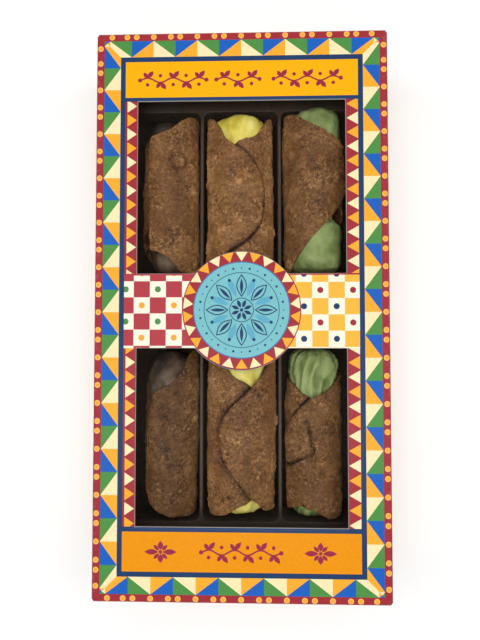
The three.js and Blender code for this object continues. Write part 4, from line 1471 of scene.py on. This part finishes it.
def fried_pastry():
    """Wine and cocoa dough, deep fried, with a trace of oil that gives a broken, soft gloss. Its
    colour is painted lighter on the dry crests of its relief and darker in its hollows, as
    painted highlight and shade."""
    material, tree, place = new_material("deep_fried_dough")
    relief, browning, seam = (
        add(tree, "ShaderNodeAttribute", attribute_name=name).outputs["Fac"]
        for name in ("relief", "browning", "seam"))
    patch = add(tree, "ShaderNodeTexNoise",
                {"Vector": place, "Scale": per(9), "Detail": 4.0, "Roughness": 0.6})
    grain = add(tree, "ShaderNodeTexNoise",
                {"Vector": place, "Scale": per(1.4), "Detail": 3.0, "Roughness": 0.65,
                 "Distortion": 0.7})
    area = add(tree, "ShaderNodeTexNoise", {"Vector": place, "Scale": per(10), "Detail": 2.0})
    crackled = add(tree, "ShaderNodeMapRange",
                   {"Value": area.outputs["Fac"], "From Min": 0.4, "From Max": 0.62,
                    "To Min": 0.6, "To Max": 1.35})
    fine = add(tree, "ShaderNodeMath", {0: grain.outputs["Fac"], 1: 0.5}, operation="SUBTRACT")
    fine = add(tree, "ShaderNodeMath", {0: fine, 1: crackled}, operation="MULTIPLY")
    swirl = add(tree, "ShaderNodeTexNoise",
                {"Vector": place, "Scale": per(4.2), "Detail": 2.0, "Distortion": 1.6})
    off = add(tree, "ShaderNodeMath", {0: swirl.outputs["Fac"], 1: 0.5}, operation="SUBTRACT")
    off = add(tree, "ShaderNodeMath", {0: off}, operation="ABSOLUTE")
    wrinkle = add(tree, "ShaderNodeMapRange",
                  {"Value": off, "From Min": 0.0, "From Max": 0.045,
                   "To Min": 0.16, "To Max": -0.02}, interpolation_type="SMOOTHSTEP")
    wrinkle = add(tree, "ShaderNodeMath", {0: wrinkle, 1: crackled}, operation="MULTIPLY")
    # painted highlight and shade: lighter on raised relief, darker in its hollows
    relief_shading = add(tree, "ShaderNodeMapRange",
                {"Value": relief, "From Min": -1.3, "From Max": 1.3,
                 "To Min": 0.32, "To Max": 0.86})
    mixed = add(tree, "ShaderNodeMath", {0: fine, 1: 1.15, 2: relief_shading}, operation="MULTIPLY_ADD")
    mixed = add(tree, "ShaderNodeMath", {0: mixed, 1: wrinkle},
                operation="ADD")
    patchy = add(tree, "ShaderNodeMath",
                 {0: patch.outputs["Fac"], 1: 0.55, 2: mixed}, operation="MULTIPLY_ADD")
    level = add(tree, "ShaderNodeMath", {0: patchy, 1: 0.3}, operation="SUBTRACT")
    # the painted shade of the seam attribute darkens the colour: cracks, creases, blisters, pits
    # and the inner face
    painted_shade_level = add(tree, "ShaderNodeMath", {0: seam, 1: -0.5, 2: level}, operation="MULTIPLY_ADD")
    shade = add(tree, "ShaderNodeValToRGB", {"Fac": painted_shade_level}, stops=[
        (0.1, "2f1b0a"), (1.0, "dbb07a"), (0.36, "6f4a2a"), (0.56, "90643b"), (0.76, "b28455")])
    # Darkens the whole shell: partly its frying, partly painted shade.
    pale = add(tree, "ShaderNodeMath", {0: 1.0, 1: browning}, operation="SUBTRACT")
    fried = add(tree, "ShaderNodeVectorMath", {0: shade, "Scale": pale}, operation="SCALE")
    rough = add(tree, "ShaderNodeMapRange",
                {"Value": grain.outputs["Fac"], "From Min": 0.3, "From Max": 0.7,
                 "To Min": 0.5, "To Max": 0.75})
    bump = add(tree, "ShaderNodeBump",
               {"Height": grain.outputs["Fac"], "Strength": 0.8, "Distance": 0.4 * MM})
    shader = add(tree, "ShaderNodeBsdfPrincipled", {
        "Base Color": fried, "Roughness": rough,
        "Diffuse Roughness": 1.0, "IOR": 1.45,
        "Specular IOR Level": 0.3, "Normal": bump,
    })
    add(tree, "ShaderNodeOutputMaterial", {"Surface": shader})
    return material


def whipped_cream(name, low, middle, high, fleck, fleck_size, soft):
    """Sweet ricotta cream piped through a nozzle: smooth, faintly grainy, and soft under light,
    with flecks of what flavours it."""
    material, tree, place = new_material(name)
    relief, tone = (
        add(tree, "ShaderNodeAttribute", attribute_name=name).outputs["Fac"]
        for name in ("relief", "tone"))
    patch = add(tree, "ShaderNodeTexNoise", {"Vector": place, "Scale": per(8), "Detail": 3.0})
    raised = add(tree, "ShaderNodeMath",
                 {0: relief, 1: 0.5, 2: patch.outputs["Fac"]}, operation="MULTIPLY_ADD")
    # the tone attribute adds the painted light and shade of each cannolo's cream
    toned = add(tree, "ShaderNodeMath", {0: raised, 1: tone}, operation="ADD")
    shade = add(tree, "ShaderNodeValToRGB", {"Fac": toned},
                stops=[(0.25, low), (0.75, high), (0.5, middle)])
    speck = add(tree, "ShaderNodeTexVoronoi", {"Vector": place, "Scale": per(fleck_size)})
    seen = add(tree, "ShaderNodeMapRange",
               {"Value": speck.outputs["Distance"], "From Min": 0.16, "From Max": 0.08,
                "To Min": 0.0, "To Max": 0.45})
    colour = add(tree, "ShaderNodeMix", {0: seen, 6: shade, 7: srgb(fleck)}, data_type="RGBA")
    grain = add(tree, "ShaderNodeTexNoise", {"Vector": place, "Scale": per(0.7), "Detail": 3.0})
    bump = add(tree, "ShaderNodeBump",
               {"Height": grain.outputs["Fac"], "Strength": 0.35, "Distance": 0.12 * MM})
    shader = add(tree, "ShaderNodeBsdfPrincipled", {
        "Base Color": colour.outputs[2], "Roughness": 0.5, "IOR": 1.42,
        "Specular IOR Level": 0.3,
        "Normal": bump, "Subsurface Weight": soft,
        "Subsurface Radius": (1.0, 0.7, 0.4), "Subsurface Scale": 1.2 * MM,
    })
    add(tree, "ShaderNodeOutputMaterial", {"Surface": shader})
    return material


# ---- floor, lights and camera ----------------------------------------------------------------


def pale_floor():
    """Matt white laminate."""
    material, tree, place = new_material("matt_white_laminate")
    mottle = add(tree, "ShaderNodeTexNoise", {"Vector": place, "Scale": per(90), "Detail": 2.0})
    shade = add(tree, "ShaderNodeValToRGB", {"Fac": mottle.outputs["Fac"]},
                stops=[(0.0, "fdfdfc"), (1.0, "ffffff")])
    shader = add(tree, "ShaderNodeBsdfPrincipled", {"Base Color": shade, "Roughness": 0.8})
    add(tree, "ShaderNodeOutputMaterial", {"Surface": shader})
    corners = rectangle(-FLOOR_HALF, -FLOOR_HALF, FLOOR_HALF, FLOOR_HALF)
    floor = make_piece("floor", [(x, y, 0) for x, y in corners], [(0, 1, 2, 3)], material,
                       smooth=False)


def soft_light(name, place, aim, size, power):
    lamp = bpy.data.lights.new(name, "AREA")
    lamp.shape = "RECTANGLE"
    lamp.size, lamp.size_y = size[0] * MM, size[1] * MM
    lamp.energy = power
    light = bpy.data.objects.new(name, lamp)
    light.location = [value * MM for value in place]
    way = Vector(aim) - Vector(place)
    light.rotation_euler = way.to_track_quat("-Z", "Y").to_euler()
    bpy.context.scene.collection.objects.link(light)


LIGHTS = (  # name, place, aim, size and power
    ("overhead_panel", (0, 0, 1250), (0, 0, 30), (1500, 1300), 9.2),
    ("overhead_lamp", (-10, -230, 1150), (0, -40, 30), (560, 240), 2.6),
    ("back_softbox", (100, 1300, 1300), (0, 0, 20), (1700, 700), 4),
    ("left_softbox", (-900, 250, 900), (0, 0, 20), (600, 700), 2.5),
    ("right_softbox", (900, 250, 900), (0, 0, 20), (600, 700), 2.5),
    ("front_softbox", (-100, -1250, 1250), (0, 0, 20), (1400, 700), 3),
)
ROOM_LIGHT = 0.14
FLOOR_HALF = 2000
NEAREST = 10  # how close to the camera anything is still seen
SENSOR = 36
LENS = 27.06
CAMERA_PLACE = (5.22, -11.34, 258.82)
CAMERA_TURN = (2.012, 1.498, 0.008)


def set_stage():
    pale_floor()
    for light in LIGHTS:
        soft_light(*light)
    world = bpy.data.worlds.new("studio")
    world.use_nodes = True
    room = world.node_tree.nodes["Background"].inputs
    room["Color"].default_value = srgb("ffffff")
    room["Strength"].default_value = ROOM_LIGHT
    bpy.context.scene.world = world
    camera_data = bpy.data.cameras.new("camera")
    camera_data.lens = LENS
    camera_data.sensor_width = SENSOR
    camera_data.clip_start = NEAREST * MM
    camera = bpy.data.objects.new("camera", camera_data)
    camera.location = [value * MM for value in CAMERA_PLACE]
    camera.rotation_euler = Euler([math.radians(turn) for turn in CAMERA_TURN], "XYZ")
    bpy.context.scene.collection.objects.link(camera)
    bpy.context.scene.camera = camera
    bpy.context.scene.view_settings.view_transform = "Standard"


# ---- the whole pack --------------------------------------------------------------------------

set_stage()
hand_in(carton_piece(printed_board()), "printed_board", "carton")
hand_in(film_piece(clear_film()), "clear_film", "window_film")
hand_in(tray_piece(tray_plastic()), "dark_tray", "tray")

PASTRY_RELIEF = relief_tree("fried_relief", {
    "Dent Size": 13 * MM, "Dent Height": 2.4 * MM,
    "Blister Size": 8 * MM, "Blister Height": 1.0 * MM,
    "Bubble Size": 3.1 * MM, "Bubble Height": 0.45 * MM,
    "Pit Size": 2.3 * MM, "Pit Height": -0.55 * MM,
    "Skin Size": 3.4 * MM, "Skin Height": 0.4 * MM,
    "Pimple Size": 3.0 * MM, "Pimple Height": 1.1 * MM,
    "Wrinkle Size": 1.3 * MM, "Wrinkle Height": 0.9 * MM,
}, fried_height)
CREAM_RELIEF = relief_tree("cream_relief", {
    "Lump Size": 7 * MM, "Lump Height": 2.2 * MM,
    "Drag Size": 2.5 * MM, "Drag Height": 0.8 * MM,
}, cream_height)
pastry = fried_pastry()
creams = {
    "chocolate": whipped_cream("chocolate_ricotta_cream", "3c2e25", "5b493b", "715e4c",
                               "2c2018", 1.6, 0.1),
    "lemon": whipped_cream("lemon_ricotta_cream", "d3bf45", "eddb62", "f7eb88",
                           "cdb943", 2.2, 0.25),
    "pistachio": whipped_cream("pistachio_ricotta_cream", "738349", "8f9f62", "a2b273",
                               "66773f", 1.5, 0.2),
}
for cannolo in CANNOLI:
    flavour = cannolo["name"].split("_")[0]
    shell, height = pastry_piece(cannolo, pastry, PASTRY_RELIEF)
    hand_in(shell, "fried_pastry", "shell_" + cannolo["name"])
    cream = filling_piece(cannolo, height, creams[flavour], CREAM_RELIEF)
    hand_in(cream, flavour + "_cream", "filling_" + cannolo["name"])
